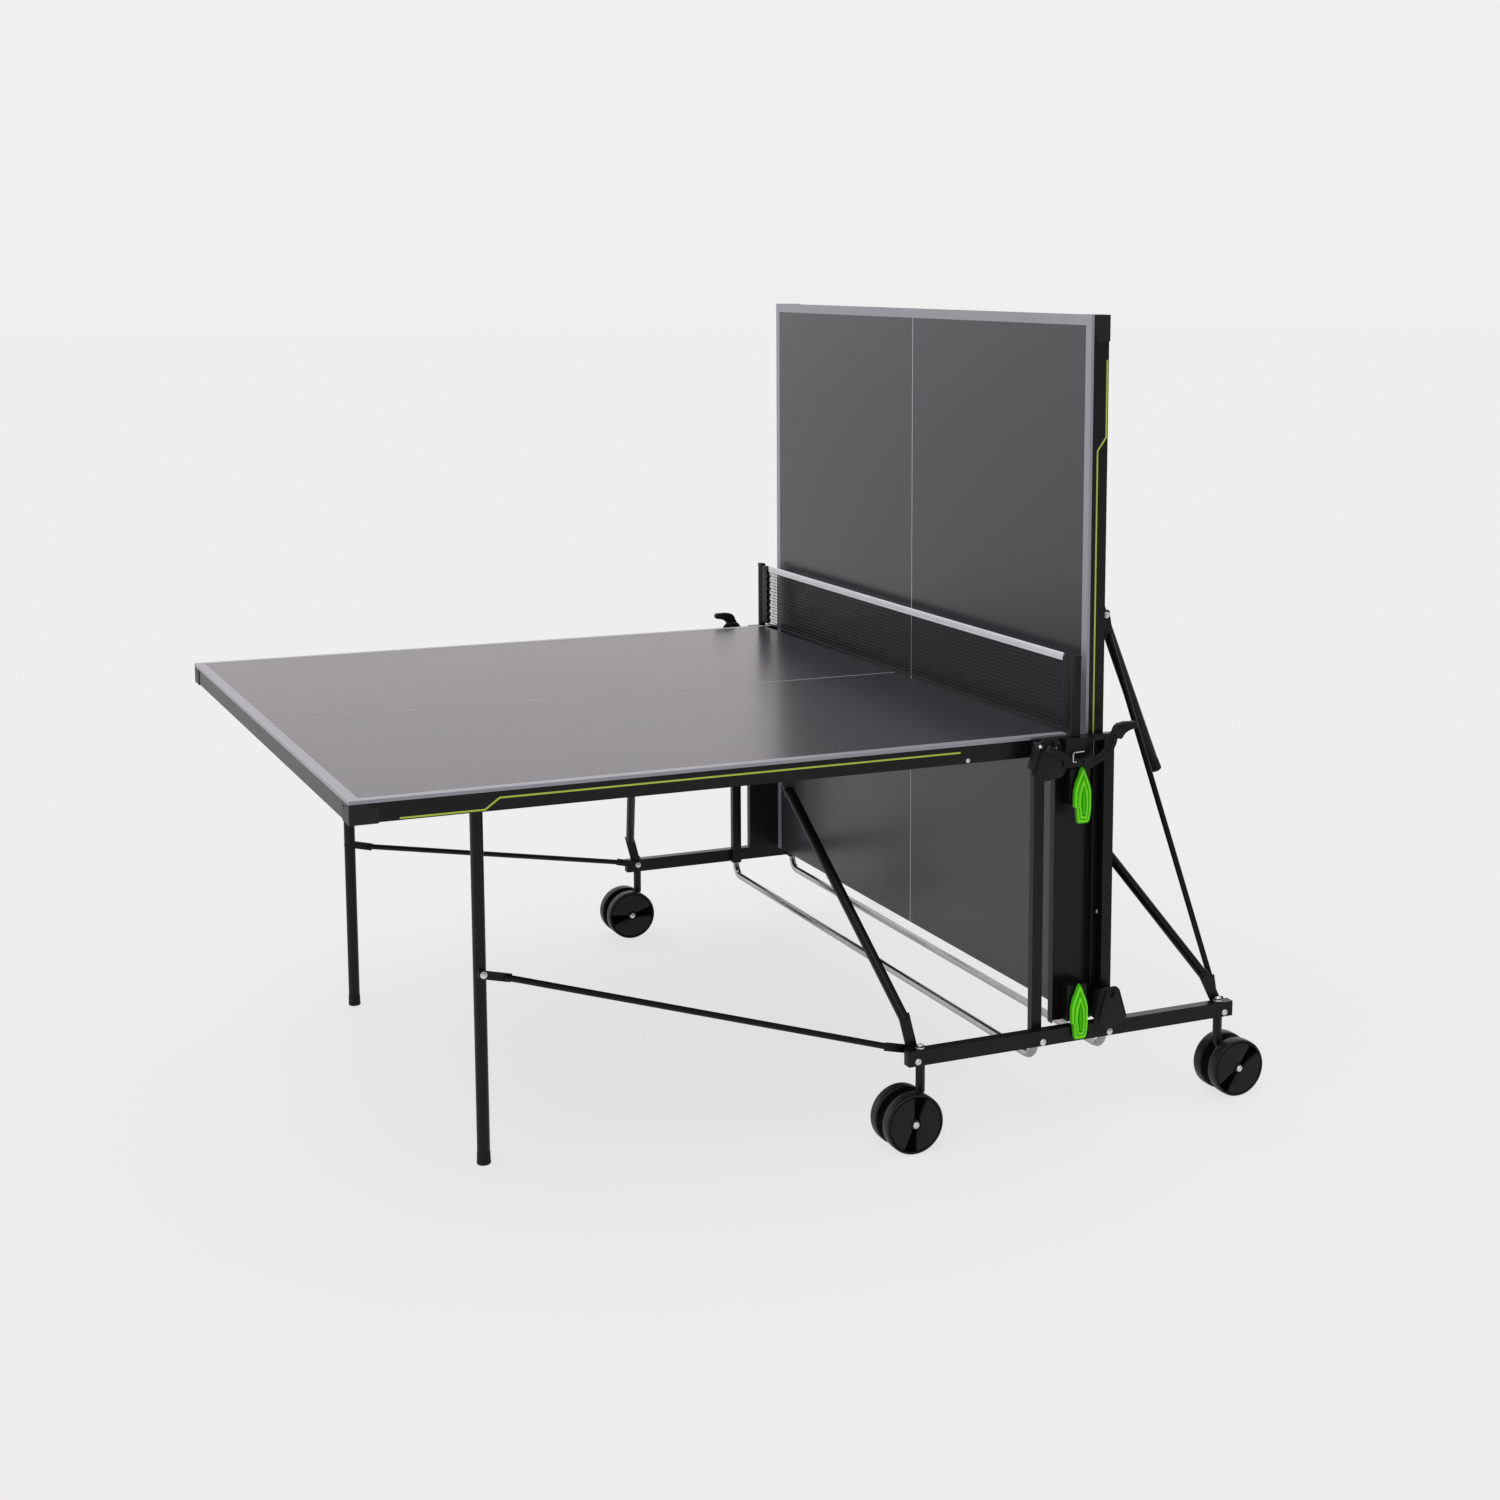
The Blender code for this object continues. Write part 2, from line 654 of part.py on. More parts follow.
def top_bracket(name, side):
    """The bar that ties the uprights, and the plate in front of it that carries the arm's stud."""
    x = (NET_X - UPRIGHT_U[1], NET_X + UPRIGHT_U[1])
    bar_z = (UPRIGHT_TOP + CLEARANCE, BRACKET_TOP)
    bar = block(f"{name}_top_bracket", x, v_span(side, (UPRIGHT_V[0], UPRIGHT_V[1])), bar_z, BLACK_STEEL)
    centre_x = (NET_X - 0.030, NET_X + 0.030)
    bridge = block("bridge", centre_x, v_span(side, (UPRIGHT_V[0] + 0.005, BRACKET_V[1])), bar_z, BLACK_STEEL)
    face_z = (COVER_Z[1] + 2 * CLEARANCE, BRACKET_TOP)
    face = block("face", centre_x, v_span(side, BRACKET_V), face_z, BLACK_STEEL)
    pin_v = (BRACKET_V[1] - 0.002, ARM_V[1] + 0.001)
    stud = cross_rod("stud", 1, side, Vector((0, ARM_PIVOT_Z)), pin_v, PIN_RADIUS, BLACK_STEEL)
    return union(bar, bridge, face, stud)


def smooth_line(points, steps=4):
    """Points along a smooth curve through the given ones."""
    padded = [2 * points[0] - points[1], *points, 2 * points[-1] - points[-2]]
    line = []
    for a, b, c, d in zip(padded, padded[1:], padded[2:], padded[3:]):
        for step in range(steps):
            t = step / steps
            line.append(
                0.5 * ((2 * b) + (c - a) * t + (2 * a - 5 * b + 4 * c - d) * t**2 + (3 * b - a - 3 * c + d) * t**3)
            )
    return [*line, points[-1]]


def ribbon(line, half_width):
    """The outline of a strip of even width along a line."""
    left = []
    right = []
    for index, point in enumerate(line):
        before = line[max(index - 1, 0)]
        after = line[min(index + 1, len(line) - 1)]
        along = (after - before).normalized()
        normal = Vector((-along.y, along.x)) * half_width
        left.append(point + normal)
        right.append(point - normal)
    return left + right[::-1]


def catch_arm(name, side):
    """The curved arm on the top bracket. The far one is the near one turned half round."""
    reach = -side
    route = [(-0.086, 0.7490), (-0.062, 0.7360), (-0.030, 0.7200), (0.000, ARM_PIVOT_Z), (0.030, 0.7225),
             (0.052, 0.7430), (0.060, 0.7650), (0.073, 0.7790), (0.102, 0.7800)]
    line = smooth_line([Vector(point) for point in route])
    outline = [(NET_X + reach * point.x, point.y) for point in ribbon(line, ARM_WIDTH / 2)]
    arm = plate(f"{name}_catch_arm", outline, v_span(side, ARM_V), BLACK_PLASTIC)
    hole_v = (ARM_V[0] - 0.01, ARM_V[1] + 0.01)
    hole = cross_rod("hole", 1, side, Vector((0, ARM_PIVOT_Z)), hole_v, PIN_RADIUS + RUNNING_GAP, BLACK_PLASTIC)
    return cut(arm, hole)


def green_catch(name, level, side):
    """A pointed finger plate that is pulled out at its foot."""
    tip = CATCH_TIPS[level]
    shape = [(0.000, 0.0), (0.0075, 0.019), (0.0172, 0.042), (0.0178, 0.085), (0.013, 0.108), (0.010, 0.112)]
    right = [(NET_X + x, tip - down * CATCH_LENGTH / 0.112) for x, down in shape]
    left = [(NET_X - x, tip - down * CATCH_LENGTH / 0.112) for x, down in shape[:0:-1]]
    return plate(f"{name}_{level}_catch", right + left, v_span(side, CATCH_V), GREEN_PLASTIC)


def net_post(name, side):
    """The post at the net's end, with the clip strip that holds the net."""
    x = (NET_X - POST_HALF_WIDTH, NET_X + POST_HALF_WIDTH)
    z = (BRACKET_TOP + CLEARANCE, NET_TOP + 0.0015)
    post = block(f"{name}_net_post", x, v_span(side, POST_V), z, BLACK_PLASTIC)
    clip_x = (NET_X - 0.0045, NET_X + 0.0045)
    clip_z = (z[0] + 0.010, z[1] - 0.003)
    return union(post, block("clip", clip_x, v_span(side, CLIP_V), clip_z, BLACK_PLASTIC))


def net():
    x = (NET_X - NET_THICKNESS / 2, NET_X + NET_THICKNESS / 2)
    band_bottom = NET_TOP - BAND_HEIGHT
    block("net", x, (-NET_END, NET_END), (NET_BOTTOM, band_bottom - CLEARANCE), NET_CORD)
    block("net_top_band", x, (-NET_END, NET_END), (band_bottom, NET_TOP), NET_TAPE)


# ---- casters ----


def wheel(name, centre):
    """A turned wheel with a plain bore, its axis along Y."""
    half = WHEEL_WIDTH / 2
    bore = AXLE_RADIUS + RUNNING_GAP
    inside = WHEEL_RADIUS - TREAD_ROUNDING
    tread = half - TREAD_ROUNDING
    outline = [(bore, half), (inside, half), (WHEEL_RADIUS, tread), (WHEEL_RADIUS, -tread), (inside, -half),
               (bore, -half)]

    def build(work):
        corners = [work.verts.new((radius, 0, height)) for radius, height in outline]
        for start, end in zip(corners, corners[1:] + corners[:1]):
            work.edges.new((start, end))

    obj = add(name, mesh_from(build), BLACK_PLASTIC)
    turn = obj.modifiers.new("turn", "SCREW")
    turn.steps = 28
    turn.render_steps = 28
    turn.use_smooth_shade = True
    obj.rotation_euler.x = math.pi / 2
    obj.location = centre
    return obj


def caster(corner, hand, side):
    """A swivelling stem with twin wheels on one axle. The wheels trail outwards."""
    swivel = pivot(f"{corner}_swivel", at(hand, side, (STEM_U, BEAM_BOTTOM), STEM_V))
    axle_point = Vector((STEM_U + CASTER_TRAIL, WHEEL_RADIUS))
    stem_top = BEAM_BOTTOM - CLEARANCE
    points = [(STEM_U, stem_top), (STEM_U, 0.110), (STEM_U + 0.25 * CASTER_TRAIL, 0.092), tuple(axle_point)]
    stem = bent_tube(
        f"{corner}_caster_stem", [at(hand, side, point, STEM_V) for point in points], STEM_RADIUS, BLACK_STEEL
    )
    hub = cross_rod("hub", hand, side, axle_point, (STEM_V - 0.0125, STEM_V + 0.0125), 0.011, BLACK_STEEL)
    pin_bottom = at(hand, side, (STEM_U, stem_top - 0.005), STEM_V)
    nut_bottom = at(hand, side, (STEM_U, BEAM_TOP + CLEARANCE), STEM_V)
    nut_top = nut_bottom + Vector((0, 0, 0.006))
    pin = rod("pin", pin_bottom, nut_top - Vector((0, 0, 0.001)), STEM_PIN_RADIUS, BLACK_STEEL)
    nut = rod("nut", nut_bottom, nut_top, 0.008, BLACK_STEEL)
    union(stem, hub, pin, nut)
    bore_v = (STEM_V - 0.03, STEM_V + 0.03)
    cut(stem, cross_rod("bore", hand, side, axle_point, bore_v, AXLE_RADIUS + RUNNING_GAP, BLACK_STEEL))
    reach = WHEEL_OFFSET + WHEEL_WIDTH / 2 + 0.003
    axle = cross_rod(
        f"{corner}_axle", hand, side, axle_point, (STEM_V - reach, STEM_V + reach), AXLE_RADIUS, ZINC
    )
    inner = wheel(f"{corner}_inner_wheel", at(hand, side, axle_point, STEM_V - WHEEL_OFFSET))
    outer = wheel(f"{corner}_outer_wheel", at(hand, side, axle_point, STEM_V + WHEEL_OFFSET))
    hang(swivel, stem, axle, inner, outer)


# ---- assembly ----


def build_half(name, hand, is_stored):
    """Models a half with its links in the playing position, then folds it up if it is stored."""
    half_pivot = pivot(f"{name}_half_pivot", at(hand, 1, HALF_PIN_PLAYING, 0))
    hang(half_pivot, board(name, hand), steel_frame(name, hand))
    leg_pivot = pivot(f"{name}_leg_pivot", at(hand, 1, LEG_PIN_PLAYING, 0))
    link_pivots = [pivot(f"{name}_{kind}_pivot", at(hand, 1, LINK_PIN, 0)) for kind in ("strut", "brace")]
    carriage_pivot = pivot(f"{name}_carriage_slide", at(hand, 1, HALF_PIN_PLAYING, 0))
    for side_name, side in SIDES.items():
        corner = f"{name}_{side_name}"
        hang(half_pivot, corner_cap(corner, hand, side))
        hang(leg_pivot, leg(corner, hand, side))
        hang(link_pivots[0], strut(corner, hand, side))
        hang(link_pivots[1], brace(corner, hand, side))
        hang(carriage_pivot, carriage(corner, hand, side))
    hang(half_pivot, leg_pivot)
    if is_stored:
        half_pivot.location.z = HALF_PIN_STORED.y
        half_pivot.rotation_euler.y = hand * HALF_TURN
        carriage_pivot.location.z = HALF_PIN_STORED.y
        leg_pivot.rotation_euler.y = hand * LEG_TURN
        link_pivots[0].rotation_euler.y = hand * STRUT_TURN
        link_pivots[1].rotation_euler.y = hand * BRACE_TURN


def build_chassis():
    for name, hand in HANDS.items():
        bent_frame(name, hand)
    for name, side in SIDES.items():
        side_beam(name, side)
        cover(name, side)
        top_bracket(name, side)
        net_post(name, side)
        arm_pivot = pivot(f"{name}_arm_pivot", at(1, side, (0, ARM_PIVOT_Z), ARM_V[0]))
        hang(arm_pivot, catch_arm(name, side))
        for level, tip in CATCH_TIPS.items():
            hinge = pivot(f"{name}_{level}_catch_hinge", at(1, side, (0, tip - 0.006), CATCH_HINGE_V))
            hang(hinge, green_catch(name, level, side))
    net()


build_chassis()
for half_name, half_hand in HANDS.items():
    build_half(half_name, half_hand, is_stored=half_name == "right")
    for beam_name, beam_side in SIDES.items():
        caster(f"{half_name}_{beam_name}", half_hand, beam_side)
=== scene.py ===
# %% [markdown]
# # Dressing a folding table-tennis table
# The steel and plastic parts were modelled first and packed as a fixed frame of named nodes.
# This script loads that frame and gives it its looks: paint, plastic, zinc, a corded net, moulded
# wheels and the small fittings. Every new piece is placed from the frame's own measures and rides
# on one of its bodies, so the table still folds.

import json
import math

import bmesh
import bpy
from mathutils import Matrix, Vector


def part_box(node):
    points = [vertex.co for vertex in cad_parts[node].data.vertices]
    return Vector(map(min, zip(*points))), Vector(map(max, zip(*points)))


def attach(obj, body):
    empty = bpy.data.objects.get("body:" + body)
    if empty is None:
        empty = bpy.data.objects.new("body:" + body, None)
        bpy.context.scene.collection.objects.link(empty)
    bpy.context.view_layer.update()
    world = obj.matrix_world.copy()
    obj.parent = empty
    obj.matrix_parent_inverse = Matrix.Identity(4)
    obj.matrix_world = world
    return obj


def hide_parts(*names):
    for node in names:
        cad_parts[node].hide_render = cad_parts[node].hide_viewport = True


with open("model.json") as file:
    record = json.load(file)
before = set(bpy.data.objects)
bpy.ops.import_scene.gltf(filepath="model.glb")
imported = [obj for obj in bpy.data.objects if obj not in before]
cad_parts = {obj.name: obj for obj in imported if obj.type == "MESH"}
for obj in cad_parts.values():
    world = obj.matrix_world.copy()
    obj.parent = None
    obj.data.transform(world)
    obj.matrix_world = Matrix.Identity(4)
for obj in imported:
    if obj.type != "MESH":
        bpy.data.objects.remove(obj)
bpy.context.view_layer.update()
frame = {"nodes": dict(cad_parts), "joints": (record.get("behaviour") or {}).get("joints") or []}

# %% [markdown]
# ## Where things are
# The table is symmetrical about the net, so most places are said with two numbers: `u`, the distance
# from the net's plane, and `v`, the distance from the long middle plane. A half of the table has its
# own measures: `s` from its net end, `v` across, and `depth` below its playing surface. The same
# numbers then serve the half that lies flat and the one that is stored upright.

# %% Measures taken from the frame
HANDS = {"left": -1, "right": 1}
SIDES = {"near": -1, "far": 1}
CORNERS = [(half, hand, side_name, side) for half, hand in HANDS.items() for side_name, side in SIDES.items()]
ANCHORS = {joint["name"]: Vector(joint["pos_m"]) for joint in frame["joints"] if "pos_m" in joint}
net_low, net_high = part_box("net")
NET_X = (net_low.x + net_high.x) / 2
flat_low, flat_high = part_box("left_board")
upright_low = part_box("right_board")[0]
HALF_LENGTH = flat_high.x - flat_low.x
HALF_WIDTH = flat_high.y
BOARD = flat_high.z - flat_low.z
print("net plane at", round(NET_X, 4), "half", round(HALF_LENGTH, 3), "by", round(2 * HALF_WIDTH, 3))


def on_half(half, s, v, depth):
    """A point of a half, from its net end, across, and below its playing surface."""
    if half == "left":
        return Vector((flat_high.x - s, v, flat_high.z - depth))
    return Vector((upright_low.x + depth, v, upright_low.z + s))


def by_net(hand, u, v, z):
    """A point at u from the net's plane, on the left (-1) or the right (1)."""
    return Vector((NET_X + hand * u, v, z))


# %% [markdown]
# ## The camera
# A product picture is taken from eye height with a slightly long lens. The lens is shifted a little,
# as on a view camera, so that the frame takes in the table without tilting the uprights.

# %% Camera
CAMERA_PLACE = Vector((-1.7235, -4.557, 1.630))
CAMERA_YAW = math.radians(26.68)
CAMERA_DOWN = math.radians(8.18)
CAMERA_ROLL = math.radians(0.328)

forward = Vector((
    math.sin(CAMERA_YAW) * math.cos(CAMERA_DOWN),
    math.cos(CAMERA_YAW) * math.cos(CAMERA_DOWN),
    -math.sin(CAMERA_DOWN),
))
level = Vector((math.cos(CAMERA_YAW), -math.sin(CAMERA_YAW), 0))
upward = level.cross(forward)
across = math.cos(CAMERA_ROLL) * level + math.sin(CAMERA_ROLL) * upward
upward = across.cross(forward)

camera_data = bpy.data.cameras.new("camera")
camera_data.lens = 55.74
camera_data.sensor_width = 36
camera_data.shift_x = -0.122
camera_data.shift_y = -0.0944
camera_data.dof.use_dof = False
camera = bpy.data.objects.new("camera", camera_data)
camera.matrix_world = Matrix.Translation(CAMERA_PLACE) @ Matrix((across, upward, -forward)).transposed().to_4x4()
bpy.context.scene.collection.objects.link(camera)
bpy.context.scene.camera = camera
print("camera looks along", [round(x, 3) for x in forward])

# %% [markdown]
# ## Writing finishes as sums
# A material in Blender is a graph of nodes. Graphs are slow to read, so a small class wraps a node's
# output, and `+`, `-`, `*`, `<` and `>` on it add Math nodes. A finish starts from one Principled
# shader. What is the same all over is a plain number on its socket, and what varies is a graph.


# %% A wrapped socket
class Value:
    """An output of a node, on which Python's arithmetic adds Math nodes."""

    def __init__(self, graph, socket):
        self.graph = graph
        self.socket = socket

    def maths(self, operation, *values):
        return self.graph.node("ShaderNodeMath", {"operation": operation}, dict(enumerate(values)))

    def __add__(self, other):
        return self.maths("ADD", self, other)

    def __sub__(self, other):
        return self.maths("SUBTRACT", self, other)

    def __rsub__(self, other):
        return self.maths("SUBTRACT", other, self)

    def __mul__(self, other):
        return self.maths("MULTIPLY", self, other)

    def __lt__(self, other):
        return self.maths("LESS_THAN", self, other)

    def __gt__(self, other):
        return self.maths("GREATER_THAN", self, other)

    __radd__ = __add__
    __rmul__ = __mul__


# %% A graph, and a finish
class Graph:
    """A tree of nodes, for a material or for the room."""

    def __init__(self, tree):
        self.tree = tree

    def feed(self, socket, value):
        if isinstance(value, Value):
            self.tree.links.new(value.socket, socket)
        elif isinstance(value, tuple) and len(value) == 3 and socket.type == "RGBA":
            socket.default_value = (*value, 1)
        else:
            socket.default_value = value

    def node(self, kind, settings=None, inputs=None, output=0):
        """Adds a node: its settings first, then its inputs' values or links."""
        made = self.tree.nodes.new(kind)
        for key, value in (settings or {}).items():
            setattr(made, key, value)
        for key, value in (inputs or {}).items():
            self.feed(made.inputs[key], value)
        return Value(self, made.outputs[output])

    def mix(self, share, first, second):
        """A colour between two."""
        return self.node("ShaderNodeMix", {"data_type": "RGBA"}, {0: share, 6: first, 7: second}, output=2)


class Finish(Graph):
    """A material with one Principled shader."""

    def __init__(self, name, **fixed):
        self.material = bpy.data.materials.new(name)
        self.material.use_nodes = True
        super().__init__(self.material.node_tree)
        self.shader = self.tree.nodes["Principled BSDF"]
        for socket, value in fixed.items():
            self.shader.inputs[socket.replace("_", " ")].default_value = value

    def place(self):
        """Where a point is, in the frame at rest."""
        return self.node("ShaderNodeTexCoord", output="Object")

    def axis(self, name):
        return self.node("ShaderNodeSeparateXYZ", inputs={0: self.place()}, output=name)

    def noise(self, scale, detail=2.0, roughness=0.5, stretch=None):
        """A cloudy pattern from 0 to 1, drawn out along an axis if stretch is given."""
        place = self.place()
        if stretch:
            place = self.node("ShaderNodeVectorMath", {"operation": "MULTIPLY"}, {0: place, 1: stretch})
        values = {"Vector": place, "Scale": scale, "Detail": detail, "Roughness": roughness}
        return self.node("ShaderNodeTexNoise", None, values)

    def between(self, share, low, high):
        """A number that goes from low to high with share."""
        return share * (high - low) + low

    def paint(self, socket, value):
        self.feed(self.shader.inputs[socket], value)

    def relief(self, height, distance):
        """Small relief, as a bump of that many metres."""
        values = {"Height": height, "Distance": distance, "Strength": 1.0}
        self.paint("Normal", self.node("ShaderNodeBump", None, values))


def mottled(name, dark, light, rough, grain, fixed=None, cloud=6.0):
    """A finish with cloudy colour and gloss and a fine grain: grain is (scale, metres)."""
    look = Finish(name, **(fixed or {}))
    clouds = look.noise(cloud, 4.0, 0.6)
    look.paint("Base Color", look.mix(clouds, dark, light))
    fine = look.noise(grain[0], 3.0)
    look.paint("Roughness", look.between(clouds * 0.6 + fine * 0.4, *rough))
    look.relief(fine, grain[1])
    return look


# %% [markdown]
# ## Coated boards
# The boards of an outdoor table are resin panels with a satin slate-grey coat. The coat has a very
# fine orange peel, which breaks up reflections, and its gloss varies a little where it was sprayed.
# The lines are silver paint. They could be a mask in the coat, but as thin films of their own they
# stay sharp however the surface is exported.

# %% Finishes of the playing surface
coat = mottled(
    "playing_coat", (0.0415, 0.0400, 0.0460), (0.0465, 0.0450, 0.0510), (0.25, 0.28), (900.0, 0.00001),
    cloud=3.0,
)
line_paint = mottled(
    "line_paint", (0.34, 0.34, 0.375), (0.40, 0.40, 0.435), (0.34, 0.46), (1100.0, 0.00003), cloud=9.0,
)
centre_paint = mottled(
    "centre_line_paint", (0.50, 0.50, 0.53), (0.58, 0.58, 0.61), (0.42, 0.52), (1100.0, 0.00003), cloud=9.0,
)
lime_paint = mottled(
    "lime_paint", (0.52, 0.68, 0.055), (0.58, 0.74, 0.075), (0.34, 0.44), (1400.0, 0.00002), cloud=15.0,
)
print("painted finishes", coat.material.name, line_paint.material.name, lime_paint.material.name)

# %% [markdown]
# ## Powder-coated steel and moulded plastic
# Powder coat melts into a skin with soft ripples about a millimetre across. Moulded plastic takes the
# spark-eroded grain of its mould, which is finer and duller. Both are nearly black here, and only
# their gloss tells them apart, so the grain and the roughness matter more than the colour.

# %% Finishes of steel and plastic
BLACK_GLOSS = {"Specular_IOR_Level": 0.24}
steel = mottled(
    "black_powder_coat", (0.0055, 0.0055, 0.0058), (0.0085, 0.0085, 0.0088), (0.26, 0.36), (620.0, 0.00008),
    BLACK_GLOSS, cloud=7.0,
)
plastic = mottled(
    "black_moulded_plastic", (0.009, 0.009, 0.0095), (0.014, 0.014, 0.0145), (0.46, 0.58), (2400.0, 0.00006),
    BLACK_GLOSS, cloud=25.0,
)
wheel_plastic = mottled(
    "wheel_plastic", (0.0075, 0.0075, 0.008), (0.012, 0.012, 0.0125), (0.34, 0.46), (1800.0, 0.00005),
    BLACK_GLOSS, cloud=20.0,
)
corner_plastic = mottled(
    "charcoal_plastic", (0.016, 0.016, 0.018), (0.022, 0.022, 0.025), (0.36, 0.46), (2000.0, 0.00005),
    BLACK_GLOSS, cloud=30.0,
)
# The wheels' sunk webs get a near-black, nearly glossless finish. This is painted shade for the recess, not a
# different plastic.
painted_shade_recess = mottled(
    "wheel_recess_painted_shade", (0.0012, 0.0012, 0.0012), (0.0020, 0.0020, 0.0020), (0.80, 0.90), (1800.0, 0.00005),
    {"Specular_IOR_Level": 0.05}, cloud=20.0,
)
green = mottled(
    "green_plastic", (0.060, 0.660, 0.000), (0.085, 0.730, 0.001), (0.34, 0.44), (1600.0, 0.00003),
    {"Specular_IOR_Level": 0.12}, cloud=40.0,
)
pale_green = mottled(
    "green_plastic_ridges", (0.260, 0.970, 0.030), (0.300, 1.000, 0.045), (0.36, 0.46), (1600.0, 0.00003),
    {"Specular_IOR_Level": 0.12}, cloud=40.0,
)
rubber = mottled(
    "black_rubber", (0.010, 0.010, 0.010), (0.016, 0.016, 0.016), (0.62, 0.74), (1500.0, 0.00008),
    BLACK_GLOSS, cloud=30.0,
)

# %% Zinc plating
zinc = Finish("zinc_plating", Metallic=0.6)
spangle = zinc.noise(160.0, 4.0, 0.6)
zinc.paint("Base Color", zinc.mix(spangle, (0.84, 0.84, 0.83), (0.96, 0.96, 0.95)))
zinc.paint("Roughness", zinc.between(spangle, 0.26, 0.42))
zinc.relief(zinc.noise(900.0, 3.0), 0.00004)

# %% [markdown]
# ## The bent frames
# Two bent frames carry the whole table. The uprights are coated black, and the bare tube that joins
# them under the beams is zinc plated. Frame and tube are one node, so one finish does both: below the
# height where the tube ends, its mask turns colour, gloss and metal to plating.

# %% Black above, plated below
TUBE_TOP = 0.158  # where the bend ends and the upright starts
bent = Finish("bent_frame_finish", Specular_IOR_Level=0.24)
bare = bent.axis("Z") < TUBE_TOP
film = bent.noise(7.0, 4.0, 0.6)
drawn = bent.noise(120.0, 3.0, 0.6, stretch=(1.0, 0.08, 1.0))
bent.paint("Base Color", bent.mix(
    bare,
    bent.mix(film, (0.0045, 0.0045, 0.0050), (0.0075, 0.0075, 0.0080)),
    bent.mix(drawn, (0.30, 0.30, 0.30), (0.44, 0.44, 0.44)),
))
bent.paint("Roughness", bent.between(film, 0.26, 0.36) - bare * (drawn * 0.06 + 0.14))
bent.paint("Metallic", bare * 1.0)
bent.relief(bent.noise(620.0, 3.0), 0.00007)

# %% [markdown]
# ## Net and tape
# The net is black cord, and its top is a folded white tape. Cloth scatters light at grazing angles,
# which is what sheen adds, and a tape shows its weave as tiny crossing ridges.

# %% Cloth finishes
cord_look = Finish("net_cord", Sheen_Weight=0.15, Sheen_Roughness=0.5, Specular_IOR_Level=0.2)
twist = cord_look.noise(1500.0, 3.0, 0.6)
cord_look.paint("Base Color", cord_look.mix(twist, (0.008, 0.008, 0.012), (0.022, 0.022, 0.030)))
cord_look.paint("Roughness", cord_look.between(twist, 0.75, 0.92))
cord_look.relief(twist, 0.0002)

tape_look = Finish("white_tape", Sheen_Weight=0.2, Sheen_Roughness=0.5, Specular_IOR_Level=0.3)
WEAVE = {"Scale": 420.0, "Distortion": 0.4, "Detail": 1.0}
warp = tape_look.node(
    "ShaderNodeTexWave", {"bands_direction": "Y"}, {"Vector": tape_look.place(), **WEAVE}, output=1
)
weft = tape_look.node(
    "ShaderNodeTexWave", {"bands_direction": "Z"}, {"Vector": tape_look.place(), **WEAVE}, output=1
)
weave = warp * 0.5 + weft * 0.5
tape_look.paint("Base Color", tape_look.mix(weave, (0.88, 0.88, 0.92), (0.97, 0.97, 1.0)))
tape_look.paint("Roughness", tape_look.between(weave, 0.85, 0.7))
tape_look.relief(weave, 0.0002)
print("finishes", len(bpy.data.materials))

# %% [markdown]
# ## Dressing the frame's own nodes
# Steel that is already the right shape keeps its node. Two things still give a bare solid away: its
# round bars are faceted, and its edges are razor sharp. A chain of modifiers cures both without
# touching the mesh: Weld joins the imported corners, Decimate merges flat triangles into whole faces,
# and Bevel rounds each edge by less than a millimetre so that it catches the light.


# %% Soften and paint a node
def soften(node, width):
    """Rounds a node's edges and shades its round parts smoothly."""
    mesh = node.data
    if "custom_normal" in mesh.attributes:
        mesh.attributes.remove(mesh.attributes["custom_normal"])
    for edge in mesh.edges:
        edge.use_edge_sharp = False
    mesh.shade_smooth()
    weld = node.modifiers.new("weld", "WELD")
    weld.merge_threshold = 0.00002
    merge = node.modifiers.new("merge flats", "DECIMATE")
    merge.decimate_type = "DISSOLVE"
    merge.angle_limit = math.radians(1.0)
    round_edges = node.modifiers.new("round edges", "BEVEL")
    round_edges.width = width
    round_edges.segments = 2
    round_edges.limit_method = "ANGLE"
    round_edges.angle_limit = math.radians(38)
    round_edges.harden_normals = True


def dress(name, look, width=0.0006):
    node = frame["nodes"][name]
    node.data.materials.clear()
    node.data.materials.append(look.material)
    soften(node, width)


for half in HANDS:
    dress(f"{half}_board", coat, 0.0004)
    dress(f"{half}_frame", steel, 0.0005)
    dress(f"{half}_bent_frame", bent, 0.0008)
for side in SIDES:
    for name in ("side_beam", "cover", "top_bracket"):
        dress(f"{side}_{name}", steel, 0.0008)
for half, hand, side_name, side in CORNERS:
    for name in ("leg", "strut", "brace", "caster_stem"):
        dress(f"{half}_{side_name}_{name}", steel, 0.0004)
    dress(f"{half}_{side_name}_corner_cap", corner_plastic, 0.0008)
    dress(f"{half}_{side_name}_axle", zinc, 0.0004)
print("dressed", sum(1 for node in frame["nodes"].values() if node.modifiers))

# %% [markdown]
# ## Tools for small pieces
# Most fittings are one of four shapes: an outline with a thickness, a profile turned round an axis,
# a skin over a row of rings, or a wire along a line. A small function makes each, and one more turns
# the result into an object that rides on a body.


# %% Making an object
def make(name, fill, look, body, sharp=35.0, second=None):
    """A piece whose mesh the function fill builds. second is a finish for faces with material index 1."""
    mesh = bpy.data.meshes.new(name)
    work = bmesh.new()
    fill(work)
    bmesh.ops.recalc_face_normals(work, faces=work.faces)
    work.to_mesh(mesh)
    work.free()
    mesh.shade_smooth()
    mesh.set_sharp_from_angle(angle=math.radians(sharp))
    for finish in (look, second):
        if finish:
            mesh.materials.append(finish.material)
    obj = bpy.data.objects.new(name, mesh)
    bpy.context.scene.collection.objects.link(obj)
    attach(obj, body)
    return obj


def rectangle(first_pair, second_pair, inset=0.0):
    """The corners of a rectangle, in order, drawn in by inset."""
    low, high = first_pair[0] + inset, first_pair[1] - inset
    bottom, top = second_pair[0] + inset, second_pair[1] - inset
    return [(low, bottom), (high, bottom), (high, top), (low, top)]


